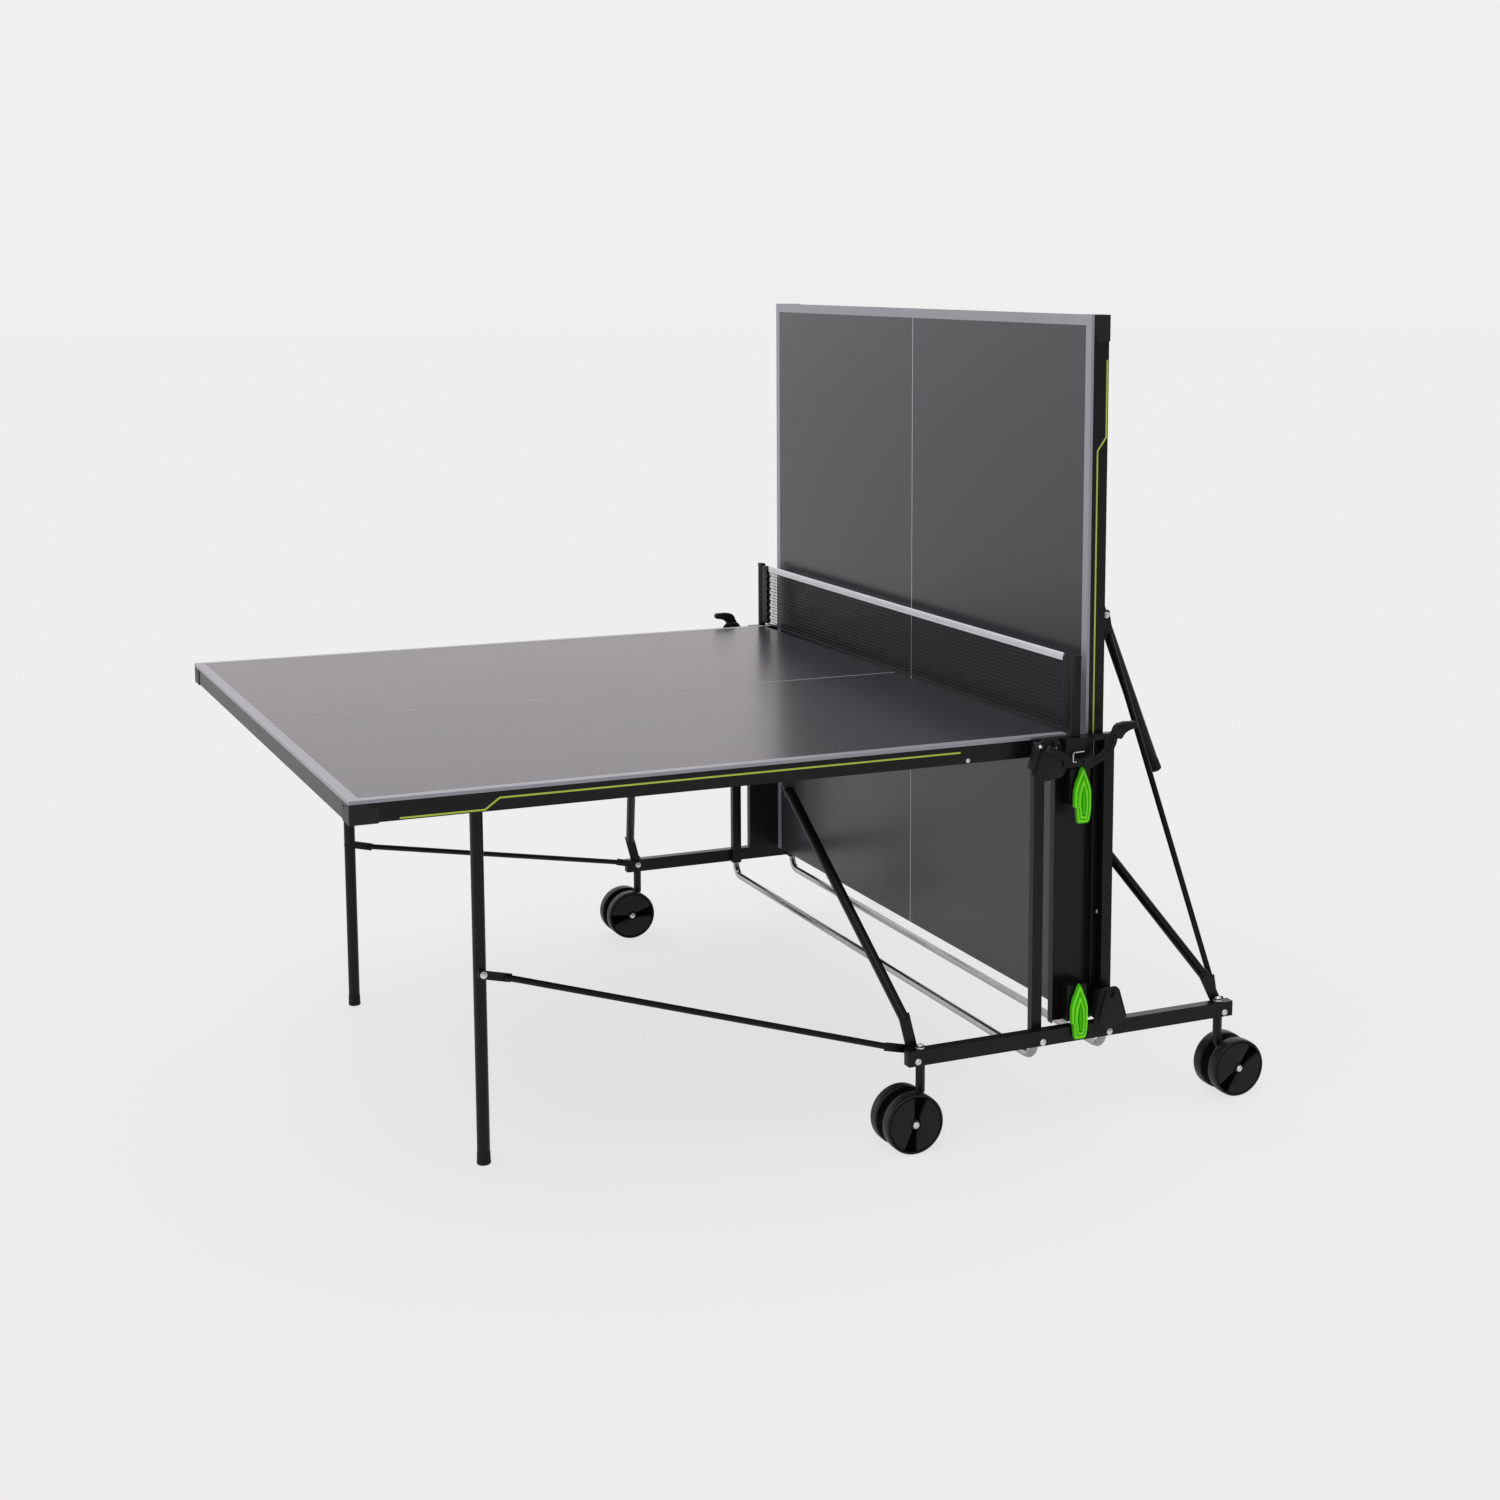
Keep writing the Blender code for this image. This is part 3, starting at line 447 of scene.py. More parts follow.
def prism(work, outline, start, end, rounding=0.0, segments=2):
    """An outline of points, moved from start to end, with its edges rounded."""
    low = [work.verts.new(Vector(point) + start) for point in outline]
    high = [work.verts.new(Vector(point) + end) for point in outline]
    faces = [work.faces.new(low[::-1]), work.faces.new(high)]
    for a, b, c, d in zip(low, low[1:] + low[:1], high[1:] + high[:1], high):
        faces.append(work.faces.new((a, b, c, d)))
    if rounding:
        edges = {edge for face in faces for edge in face.edges}
        bmesh.ops.bevel(
            work, geom=list(edges), offset=rounding, segments=segments, profile=0.5, affect="EDGES",
            clamp_overlap=True,
        )


def upright_plate(work, outline, v_pair, rounding=0.0, segments=2):
    """An outline of (x, z) points with a thickness along Y."""
    flat = [(x, 0, z) for x, z in outline]
    prism(work, flat, Vector((0, v_pair[0], 0)), Vector((0, v_pair[1], 0)), rounding, segments)


def skin(work, rings, closed=False):
    """Joins rings of points into a skin: closed on itself, or with both its ends filled."""
    rings = [[work.verts.new(point) for point in ring] for ring in rings]
    for first, second in zip(rings, rings[1:] + rings[:1] if closed else rings[1:]):
        for corners in zip(first, first[1:] + first[:1], second[1:] + second[:1], second):
            work.faces.new(corners)
    if not closed:
        work.faces.new(rings[0])
        work.faces.new(rings[-1])


def circle(centre, radius, side, other, count, start=0.0):
    """Points round a centre, in the plane of two directions."""
    turns = [2 * math.pi * (step + start) / count for step in range(count)]
    return [centre + radius * (math.cos(t) * side + math.sin(t) * other) for t in turns]


def turned(work, profile, start, direction, segments=32):
    """A profile of (along, radius) points turned round an axis."""
    direction = Vector(direction).normalized()
    side = direction.orthogonal().normalized()
    other = direction.cross(side)
    rings = []
    for along, radius in profile:
        centre = Vector(start) + direction * along
        if radius < 1e-6:
            rings.append([work.verts.new(centre)])
            continue
        rings.append([work.verts.new(point) for point in circle(centre, radius, side, other, segments)])
    for first, second in zip(rings, rings[1:]):
        for step in range(segments):
            following = (step + 1) % segments
            corners = [first[step % len(first)], first[following % len(first)],
                       second[following % len(second)], second[step % len(second)]]
            unique = list(dict.fromkeys(corners))
            if len(unique) > 2:
                work.faces.new(unique)
    for ring in (rings[0], rings[-1]):
        if len(ring) > 1:
            work.faces.new(ring)


def wire(work, points, radius, sides=6):
    """A thin straight-sided bar along a line of points."""
    points = [Vector(point) for point in points]
    rings = []
    for index, point in enumerate(points):
        along = (points[min(index + 1, len(points) - 1)] - points[max(index - 1, 0)]).normalized()
        helper = Vector((1, 0, 0)) if abs(along.x) < 0.9 else Vector((0, 0, 1))
        side = along.cross(helper).normalized()
        rings.append(circle(point, radius, side, along.cross(side), sides, 0.5))
    skin(work, rings)


# %% [markdown]
# ## Painted lines
# A half has a 20 mm silver line along both sides and its free end, which wraps down over the board's
# edge, and a 3 mm line along its middle. There is none at the net end. Each line is an L-shaped film,
# swept along the three sides with mitred corners.

# %% The lines
LINE_WIDTH = 0.020
CENTRE_WIDTH = 0.003
FILM = 0.0002


def edge_line(half):
    section = [(-LINE_WIDTH, 0), (-LINE_WIDTH, -FILM), (FILM, -FILM), (FILM, BOARD), (0, BOARD), (0, 0)]
    stations = [(0, 0, -1), (HALF_LENGTH, 1, -1), (HALF_LENGTH, 1, 1), (0, 0, 1)]

    def fill(work):
        skin(work, [
            [on_half(half, s + outward * o, hand * (HALF_WIDTH + o), depth) for o, depth in section]
            for s, outward, hand in stations
        ])

    make(f"{half}_edge_line", fill, line_paint, f"{half}_half", sharp=20)


def centre_line(half):
    def fill(work):
        area = rectangle((0.0005, HALF_LENGTH - LINE_WIDTH), (-CENTRE_WIDTH / 2, CENTRE_WIDTH / 2))
        raised = on_half(half, 0, 0, -FILM) - on_half(half, 0, 0, 0)
        prism(work, [on_half(half, s, v, 0) for s, v in area], Vector(), raised)

    make(f"{half}_centre_line", fill, centre_paint, f"{half}_half", sharp=20)


for half in HANDS:
    edge_line(half)
    centre_line(half)

# %% [markdown]
# ## Stripes on the aprons
# A lime stripe runs along the steel apron of each long side. It starts low near the corner cap, jumps
# up with a short slope, and ends before the net. It is a strip of film along a bent line, and at each
# bend the strip's sides meet on the mitre.

# %% The stripes
STRIPE = [(1.285, 0.0365), (1.139, 0.0365), (1.113, 0.0180), (0.228, 0.0180)]
STRIPE_WIDTH = 0.0032
APRON_FACE = 0.0015  # the apron stands back from the board's edge


def strip_sides(line, half_width):
    """The two sides of a strip of even width along a bent line."""
    left, right = [], []
    for index, here in enumerate(line):
        here = Vector(here)
        before = Vector(line[index - 1]) if index else None
        after = Vector(line[index + 1]) if index + 1 < len(line) else None
        into = (here - before).normalized() if before else (after - here).normalized()
        out = (after - here).normalized() if after else into
        normal = Vector((-into.y, into.x)) + Vector((-out.y, out.x))
        normal = normal.normalized()
        reach = half_width / normal.dot(Vector((-into.y, into.x)))
        left.append(here + normal * reach)
        right.append(here - normal * reach)
    return left, right


def stripe(half, side_name, side):
    left, right = strip_sides(STRIPE, STRIPE_WIDTH / 2)
    v_face = side * (HALF_WIDTH - APRON_FACE)

    def fill(work):
        skin(work, [
            [on_half(half, point.x, v_face + side * out, point.y) for point, out in (
                (a, 0), (a, FILM), (b, FILM), (b, 0))]
            for a, b in zip(left, right)
        ])

    make(f"{half}_{side_name}_stripe", fill, lime_paint, f"{half}_half", sharp=20)


for half, hand, side_name, side in CORNERS:
    stripe(half, side_name, side)

# %% [markdown]
# ## Bolts
# A folding frame is a crowd of bolted joints. Their zinc domes are small, but they are the brightest
# points on black steel, so they go where the real joints are: on axles, swivels, beams, links and
# rivets. Each one is a washer and a domed head, turned from one profile.


# %% A domed bolt
def bolt(name, place, direction, radius, height, body, look=zinc):
    washer = 0.28 * height
    dome = [(washer + (height - washer) * math.sin(a), 0.82 * radius * math.cos(a))
            for a in (math.radians(step) for step in (0, 25, 50, 70, 82))]
    profile = [(0, radius), (washer * 0.8, radius), (washer, radius * 0.95), *dome, (height, 0)]
    return make(name, lambda work: turned(work, profile, place, direction, 24), look, body)


BEAM_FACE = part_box("far_side_beam")[1].y
BEAM_END_BOLT = (0.3425, 0.1685)  # u and z
UPRIGHT_BOLT = (0.0745, 0.1675)  # u and z
APRON_RIVET = (0.212, 0.0345)  # s and depth
NUT_SINK = 0.0015  # a nut starts this far inside its axle's end
for side_name, side in SIDES.items():
    outward = (0, side, 0)
    for half, hand in HANDS.items():
        corner = f"{half}_{side_name}"
        for name, (u, z), radius, height in (
            ("beam_end", BEAM_END_BOLT, 0.0062, 0.0042), ("upright", UPRIGHT_BOLT, 0.0064, 0.0040)
        ):
            bolt(f"{corner}_{name}_bolt", by_net(hand, u, side * BEAM_FACE, z), outward, radius, height, "chassis")
        axle_low, axle_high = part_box(f"{corner}_axle")
        axle = (axle_low + axle_high) / 2
        for end_name, end in (("inner", -side), ("outer", side)):
            edge = axle_low.y if end < 0 else axle_high.y
            place = Vector((axle.x, edge - end * NUT_SINK, axle.z))
            bolt(f"{corner}_{end_name}_axle_nut", place, (0, end, 0), 0.0062, 0.0050, f"{corner}_caster")
        pivot = ANCHORS[f"{corner}_caster_swivel"]
        place = Vector((pivot.x, pivot.y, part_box(f"{corner}_caster_stem")[1].z - 0.0052))
        bolt(f"{corner}_swivel_nut", place, (0, 0, 1), 0.0088, 0.0088, f"{corner}_caster")
        rivet = on_half(half, APRON_RIVET[0], side * (HALF_WIDTH - APRON_FACE), APRON_RIVET[1])
        bolt(f"{corner}_apron_rivet", rivet, outward, 0.0042, 0.0018, f"{half}_half")

# %% [markdown]
# ### Bolts on the links
# The struts, legs and braces stand at an angle across the table, so their bolts take their place from
# the nodes themselves. A link's eye is the flat end round its pin, and the bolt sits on the eye's
# outer face and points along the table's width.

# %% Bolts of the folding links
STRUT_HEAD_V, BRACE_HEAD_V = 0.4575, 0.5425
EYE = 0.004  # how thick an eye is
STRUT_PIN_BACK, BRACE_PIN_BACK = 0.011, 0.008  # from a link's tip to its pin
LEG_PIN_EAR_V = 0.53625
LINK_PIN_END_V = 0.7625


def far_end(name, pivot, share=0.004):
    """The middle of the points of a node that are furthest from a pivot, in the plane of X and Z."""
    places = [Vector((p.co.x, 0, p.co.z)) for p in frame["nodes"][name].data.vertices]
    flat_pivot = Vector((pivot.x, 0, pivot.z))
    reach = max((place - flat_pivot).length for place in places)
    last = [place for place in places if (place - flat_pivot).length > reach - share]
    low = Vector((min(p.x for p in last), 0, min(p.z for p in last)))
    high = Vector((max(p.x for p in last), 0, max(p.z for p in last)))
    return (low + high) / 2


def along_link(name, pivot, back):
    """The pin at a link's far end: back metres short of its tip."""
    tip = far_end(name, pivot)
    start = Vector((pivot.x, 0, pivot.z))
    return tip - (tip - start).normalized() * back


for side_name, side in SIDES.items():
    for half in HANDS:
        corner = f"{half}_{side_name}"
        strut_foot = ANCHORS[f"{half}_strut_swing"]
        leg_pin = ANCHORS[f"{half}_leg_swing"]
        for link, back, v, facing, radius in (
            ("strut", STRUT_PIN_BACK, STRUT_HEAD_V - EYE / 2, -side, 0.0068),
            ("brace", BRACE_PIN_BACK, BRACE_HEAD_V + EYE / 2, side, 0.0066),
        ):
            head = along_link(f"{corner}_{link}", ANCHORS[f"{half}_{link}_swing"], back)
            head.y = side * v
            bolt(f"{corner}_{link}_head_bolt", head, (0, facing, 0), radius, 0.0042, f"{half}_{link}s")
        place = Vector((leg_pin.x, side * LEG_PIN_EAR_V, leg_pin.z))
        bolt(f"{corner}_leg_bolt", place, (0, side, 0), 0.0068, 0.0042, f"{half}_half")
        place = Vector((strut_foot.x, side * LINK_PIN_END_V, strut_foot.z))
        bolt(f"{corner}_link_nut", place, (0, -side, 0), 0.0066, 0.0040, "chassis")

# %% [markdown]
# ## Foot caps and end plugs
# Every cut tube ends in plastic. A leg stands on a cup of hard rubber with a thicker rim, and the
# ends of the side beams are closed with stepped plugs that are nearly flush.

# %% Foot caps
LEG_V = 0.5235
FOOT_CUP = [(-0.0004, 0), (-0.0004, 0.0112), (0.0010, 0.0127), (0.0040, 0.0133), (0.0060, 0.0131),
            (0.0075, 0.0127), (0.0230, 0.0125), (0.0236, 0.0122), (0.0236, 0.01205), (0.0002, 0.01205), (0.0002, 0)]


def foot_cap(corner, half, side):
    pin = ANCHORS[f"{half}_leg_swing"]
    foot = far_end(f"{corner}_leg", pin)
    upward_leg = (Vector((pin.x, 0, pin.z)) - foot).normalized()
    foot.y = side * LEG_V
    make(f"{corner}_foot_cap", lambda work: turned(work, FOOT_CUP, foot, upward_leg, 32), rubber,
         f"{half}_legs")


for half, hand, side_name, side in CORNERS:
    foot_cap(f"{half}_{side_name}", half, side)

# %% End plugs
PLUG_V, PLUG_Z = (0.7816, 0.8044), (0.1596, 0.1904)


def end_plug(half, hand, side_name, side):
    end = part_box(f"{side_name}_side_beam")[1].x - NET_X
    start = by_net(hand, end + 0.0002, 0, 0)

    def fill(work):
        for inset, reach in ((0.0, 0.0012), (0.0022, 0.0020)):
            corners = [(0, side * v, z) for v, z in rectangle(PLUG_V, PLUG_Z, inset)]
            prism(work, corners, start, start + Vector((hand * reach, 0, 0)), 0.0009)

    make(f"{half}_{side_name}_end_plug", fill, plastic, "chassis")


for side_name, side in SIDES.items():
    for half, hand in HANDS.items():
        end_plug(half, hand, side_name, side)

# %% [markdown]
# ## Marks on the corner caps
# A moulded cap is not quite plain: a thumb lip stands on its long side, and a small plug fills the
# hole in its end. They are shallow, so they are laid on the cap and ride on its half.

# %% A cap's lip and plug
LIP_RADIUS = 0.0085
LIP_S, LIP_DEPTH = 1.328, 0.0078
CAP_PLUG = [(0, 0.0036), (0.0005, 0.0034), (0.0007, 0.0026), (0.0007, 0)]


def cap_marks(half, side_name, side):
    """A half-round lip on a cap's long side, and a small plug in its end."""
    low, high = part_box(f"{half}_{side_name}_corner_cap")
    face = high.y if side > 0 else low.y
    end = flat_high.x - low.x if half == "left" else high.z - upright_low.z
    end_outward = on_half(half, 1, 0, 0) - on_half(half, 0, 0, 0)

    def fill(work):
        turns = [math.pi * step / 12 for step in range(13)]
        for radius, proud in ((LIP_RADIUS, 0.0005), (LIP_RADIUS * 0.66, 0.0010)):
            outline = [
                on_half(half, LIP_S + radius * math.cos(t), face, LIP_DEPTH + radius * math.sin(t)) for t in turns
            ]
            prism(work, outline, Vector((0, -side * 0.0004, 0)), Vector((0, side * proud, 0)), 0.0002, 1)
        place = on_half(half, end - 0.0003, side * 0.7225, 0.0150)
        turned(work, CAP_PLUG, place, end_outward, 20)

    make(f"{half}_{side_name}_cap_marks", fill, rubber, f"{half}_half")


for half, hand, side_name, side in CORNERS:
    cap_marks(half, side_name, side)

# %% [markdown]
# ## Wheels
# Each caster has twin wheels of black plastic. A wheel is turned from one profile: a crowned tread,
# a raised rim, a sunk web and a hub. Two broad fan-shaped panels fill most of the web on the outer
# side, so that what stays sunk are two wedges between them. The sunk web takes a darker, duller black
# than the wheel: painted shade in the wedges, which the room's even light would leave too bright.

# %% A wheel
WHEEL_RADIUS = 0.058
WHEEL_HALF = 0.013
HUB_RADIUS = 0.0098
BORE_RADIUS = 0.0053
WEB_DEPTH = 0.008
RIM_INSIDE = 0.0532
WHEEL_STEPS = 56
WEDGE = math.radians(28)


def wheel_profile():
    """(along, radius) from the inner face to the outer face, and back through the bore."""
    half = WHEEL_HALF
    crown = [(-half + 0.0006, 0.0570), (-half + 0.0022, 0.0577), (-0.0060, WHEEL_RADIUS), (0.0060, WHEEL_RADIUS),
             (half - 0.0022, 0.0577), (half - 0.0006, 0.0570)]
    outer_face = [(half, 0.0562), (half, RIM_INSIDE + 0.0008), (half - 0.0008, RIM_INSIDE),
                  (half - WEB_DEPTH, RIM_INSIDE - 0.0008), (half - WEB_DEPTH, HUB_RADIUS + 0.0006),
                  (half - 0.0008, HUB_RADIUS), (half, HUB_RADIUS - 0.0008), (half, BORE_RADIUS)]
    inner_face = [(-half, BORE_RADIUS), (-half, HUB_RADIUS - 0.0008), (-half + 0.0008, HUB_RADIUS),
                  (-half + 0.0042, HUB_RADIUS + 0.0006), (-half + 0.0042, RIM_INSIDE - 0.0006),
                  (-half + 0.0008, RIM_INSIDE), (-half, RIM_INSIDE + 0.0008), (-half, 0.0562)]
    return inner_face + crown + outer_face


def fan(work, centre, outward, start, end, low, high):
    """A fan-shaped panel on the web, between two angles."""
    steps = 16
    angles = [start + (end - start) * step / steps for step in range(steps + 1)]
    rim = RIM_INSIDE - 0.0016
    corners = [(rim * math.cos(a), rim * math.sin(a)) for a in angles]
    turns = [end - 0.15 - (end - start - 0.3) * step / 6 for step in range(7)]
    hub = [(0.0125 * math.cos(a), 0.0125 * math.sin(a)) for a in turns]
    outline = [(centre.x + x, centre.y, centre.z + z) for x, z in corners + hub]
    prism(work, outline, Vector((0, outward * low, 0)), Vector((0, outward * high, 0)), 0.0012)


def wheel(corner, which, side, turn):
    """One wheel. turn is where its first wedge points, in degrees."""
    low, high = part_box(f"{corner}_{which}_wheel")
    centre = (low + high) / 2
    outward = side if which == "outer" else -side

    def fill(work):
        profile = wheel_profile()
        direction = Vector((0, outward, 0))
        across_axis = direction.orthogonal().normalized()
        other = direction.cross(across_axis)
        skin(work, [circle(centre + direction * along, radius, across_axis, other, WHEEL_STEPS)
                    for along, radius in profile], closed=True)
        # The faces of the sunk web take the second finish, which is painted shade.
        web = (WHEEL_HALF - WEB_DEPTH, WHEEL_HALF - WEB_DEPTH)
        for number, face in enumerate(work.faces):
            ring = number // WHEEL_STEPS
            face.material_index = int((profile[ring][0], profile[(ring + 1) % len(profile)][0]) == web)
        for side_turn in (0, math.pi):
            start = math.radians(turn) + side_turn + WEDGE / 2
            fan(work, centre, outward, start, start + math.pi - WEDGE, WHEEL_HALF - 0.0084, WHEEL_HALF - 0.0008)

    obj = make(f"{corner}_{which}_tyre", fill, wheel_plastic, f"{corner}_{which}_wheel_body", 32,
               painted_shade_recess)
    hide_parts(f"{corner}_{which}_wheel")


WEDGES = {"left_near": 78, "left_far": 8, "right_near": 46, "right_far": 30}
for half, hand, side_name, side in CORNERS:
    for which in ("inner", "outer"):
        wheel(f"{half}_{side_name}", which, side, WEDGES[f"{half}_{side_name}"])

# %% [markdown]
# ## Green catches
# A catch is a finger grip that is pulled to free a half. It is pointed at its tip, wide in the middle
# and blunt at its foot. Nested raised ridges in the shape of the outline give the fingers something
# to hold, so the piece is built as steps: a base, a ring-shaped ridge and a keel.

# %% A catch
CATCH_SHAPE = [(0.0000, 0.0000), (0.0034, 0.0060), (0.0084, 0.0190), (0.0140, 0.0320), (0.0174, 0.0460),
               (0.0178, 0.0600), (0.0178, 0.0780), (0.0178, 0.0786), (0.0170, 0.0900), (0.0142, 0.1075),
               (0.0110, 0.1100)]
STEP_DOWN = 0.0782  # below this, one side steps in for the thumb
BASE_RISE, KEEL_RISE = 0.0075, 0.0058
RIDGES = ((0.95, 0.004, 0.003, 0.0026), (0.52, 0.026, 0.010, 0.0046))  # width, top, foot, rise


def catch_outline(tip, middle, side, width=1.0, top=0.0, foot=0.0):
    """The catch's outline, narrowed, and cut back from its tip and its foot."""
    length = CATCH_SHAPE[-1][1]
    share = (length - top - foot) / length
    right = [(x * width, tip - top - down * share) for x, down in CATCH_SHAPE]
    left = [(-x * width * (0.72 if down > STEP_DOWN else 1), tip - top - down * share) for x, down in CATCH_SHAPE[1:]]
    return [(middle - side * x, z) for x, z in right + left[::-1]]


def ridge(work, outer, inner, v_pair):
    """A raised ring between two outlines of as many points."""
    low, high = v_pair
    walls = ((outer, low), (outer, high), (inner, high), (inner, low))
    skin(work, [[(x, v, z) for x, z in outline] for outline, v in walls], closed=True)


def catch(side_name, side, level):
    name = f"{side_name}_{level}_catch"
    low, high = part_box(name)
    tip, centre_x = high.z, (low.x + high.x) / 2
    faces = sorted((abs(low.y), abs(high.y)))
    base = faces[0] + BASE_RISE

    def fill(work):
        outline = catch_outline(tip, centre_x, side)
        upright_plate(work, outline, (side * faces[0], side * base), 0.0018, 3)
        plain = set(work.faces)
        for width, top, foot, rise in RIDGES:
            outer = catch_outline(tip, centre_x, side, width, top, foot)
            inner = catch_outline(tip, centre_x, side, width - 0.17, top + 0.008, foot + 0.004)
            ridge(work, outer, inner, (side * (base - 0.001), side * (base + rise)))
        for face in work.faces:
            if face not in plain:
                face.material_index = 1
        keel = catch_outline(tip, centre_x, side, 0.15, 0.040, 0.018)
        upright_plate(work, keel, (side * (base - 0.001), side * (base + KEEL_RISE)), 0.0010, 2)

    obj = make(f"{name}_grip", fill, green, f"{name}_lever", 30, pale_green)
    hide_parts(name)


for side_name, side in SIDES.items():
    for level in ("upper", "lower"):
        catch(side_name, side, level)

# %% [markdown]
# ## Carriages
# Each half's net end hangs on two plastic slides that run on the uprights. What shows is a broad
# trapezoid with rounded corners, narrow at the top. A raised panel with a U-shaped notch in its top
# edge stiffens the moulding, and so does a rib on each side. Their edges catch the light as fine lines.

# %% A carriage
CARRIAGE_EDGE = [(-0.021, -0.040), (-0.006, 0.018), (0.001, 0.0255), (0.030, 0.0255), (0.038, 0.018),
                 (0.055, -0.038), (0.049, -0.049), (0.024, -0.0575), (-0.012, -0.052)]
CARRIAGE_BACK = [(-0.018, -0.034), (-0.006, 0.016), (0.037, 0.016), (0.052, -0.034)]
CARRIAGE_PANEL = [(-0.0125, -0.0400), (0.0035, 0.0130), (0.0065, 0.0200), (0.0095, 0.0200), (0.0100, 0.0070),
                  (0.0130, 0.0035), (0.0190, 0.0035), (0.0220, 0.0070), (0.0225, 0.0200), (0.0285, 0.0200),
                  (0.0330, 0.0130), (0.0485, -0.0370), (0.0445, -0.0450), (0.0230, -0.0520), (-0.0060, -0.0470)]
CARRIAGE_RIBS = (((-0.0050, 0.0120), (-0.0170, -0.0330)), ((0.0350, 0.0120), (0.0485, -0.0330)))
RIB_WIDTH = 0.0022
EDGE_V, PANEL_V, RIB_V, BACK_V = (0.8048, 0.8106), (0.8096, 0.8148), (0.8100, 0.8132), (0.7838, 0.8060)
CARRIAGE_PIN_U = 0.055


def carriage(half, hand, side_name, side):
    name = f"{half}_{side_name}_carriage"
    fold = ANCHORS["left_half_fold" if half == "left" else "right_half_unfold"]
    pin_x = by_net(hand, CARRIAGE_PIN_U, 0, 0).x

    def layer(work, outline, v_pair, rounding, segments):
        placed = [(pin_x + hand * u, fold.z + z) for u, z in outline]
        upright_plate(work, placed, (side * v_pair[0], side * v_pair[1]), rounding, segments)

    def fill(work):
        layer(work, CARRIAGE_EDGE, EDGE_V, 0.0026, 3)
        layer(work, CARRIAGE_PANEL, PANEL_V, 0.0013, 2)
        for (x0, z0), (x1, z1) in CARRIAGE_RIBS:
            rib = [(x0, z0), (x0 + RIB_WIDTH, z0), (x1 + RIB_WIDTH, z1), (x1, z1)]
            layer(work, rib, RIB_V, 0.0006, 2)
        layer(work, CARRIAGE_BACK, BACK_V, 0.0022, 3)

    obj = make(f"{name}_slide", fill, plastic, f"{half}_carriages", 30)
    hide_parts(name)


for half, hand, side_name, side in CORNERS:
    carriage(half, hand, side_name, side)

# %% [markdown]
# ## Curved arms
# A black plastic arm hangs on the bracket between the uprights. It is bowed like a ladle, and turns
# up to a flat handle. The band is an outline of even width along a smooth curve. The handle is a
# thicker block on its end, with a knob under it for the finger.

# %% An arm
ARM_PIVOT_Z = ANCHORS["near_arm_lift"].z
ARM_ROUTE = [(-0.086, 0.7490), (-0.062, 0.7360), (-0.030, 0.7200), (0.000, ARM_PIVOT_Z), (0.030, 0.7225),
             (0.052, 0.7430), (0.060, 0.7650), (0.073, 0.7790), (0.102, 0.7800)]
ARM_WIDTH = 0.014
HANDLE = [(0.0530, 0.7660), (0.0590, 0.7800), (0.0660, 0.7852), (0.0800, 0.7872), (0.1030, 0.7872), (0.1080, 0.7840),
          (0.1080, 0.7760), (0.1030, 0.7728), (0.0860, 0.7728), (0.0790, 0.7690), (0.0770, 0.7600), (0.0720, 0.7548),
          (0.0660, 0.7560), (0.0620, 0.7640)]


def smooth_line(points, steps):
    """Points along a smooth curve through the given ones."""
    points = [Vector(point) for point in points]
    padded = [2 * points[0] - points[1], *points, 2 * points[-1] - points[-2]]
    line = []
    for a, b, c, d in zip(padded, padded[1:], padded[2:], padded[3:]):
        for step in range(steps):
            t = step / steps
            line.append(0.5 * (2 * b + (c - a) * t + (2 * a - 5 * b + 4 * c - d) * t**2
                               + (3 * b - a - 3 * c + d) * t**3))
    return [*line, points[-1]]


def arm(side_name, side):
    name = f"{side_name}_catch_arm"
    low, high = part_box(name)
    faces = sorted((abs(low.y), abs(high.y)))
    reach = -side
    line = smooth_line(ARM_ROUTE, 7)

    def band_of(part, half_width):
        left, right = strip_sides(part, half_width)
        return [(NET_X + reach * point.x, point.y) for point in left + right[::-1]]

    band = band_of(line, ARM_WIDTH / 2)
    rib = band_of(line[2:-4], 0.0022)
    handle = [(NET_X + reach * u, z) for u, z in HANDLE]

    def fill(work):
        upright_plate(work, band, (side * faces[0], side * (faces[1] - 0.0012)), 0.0020, 2)
        upright_plate(work, rib, (side * (faces[1] - 0.0022), side * (faces[1] + 0.0006)), 0.0006, 2)
        upright_plate(work, handle, (side * (faces[0] - 0.0018), side * (faces[1] + 0.0018)), 0.0026, 3)
        boss = (NET_X, side * (faces[0] - 0.0006), ARM_PIVOT_Z)
        turned(work, [(0, 0.0105), (0.0130, 0.0105), (0.0140, 0.0095), (0.0140, 0.0)], boss, (0, side, 0), 28)

    obj = make(f"{name}_band", fill, plastic, f"{side_name}_arm", 32)
    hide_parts(name)


for side_name, side in SIDES.items():
    arm(side_name, side)

# %% [markdown]
# ## Net posts
# The net's ends are clipped to two posts. A post is a tall moulded bar with rounded edges, a slim
# rail down each face and a cap. The clip strip beside it has wavy teeth, which the cords hook over.

# %% A net post
TEETH = 9
NET_END = net_high.y
POST_X, POST_V = (-0.0060, 0.0060), (0.772, 0.792)
RAIL_X = 0.0062
RAIL = ((0.90, 0.7790), (1.14, 0.7800), (1.14, 0.7825), (0.90, 0.7835))  # share of RAIL_X, and v
CLIP_BACK, CLIP_X = 0.7735, 0.0046  # v of the clip strip's straight edge, and half its thickness
TOOTH, TOOTH_MIDDLE = 0.0030, 0.0052  # a tooth's swing, and how far its middle is from the net's end


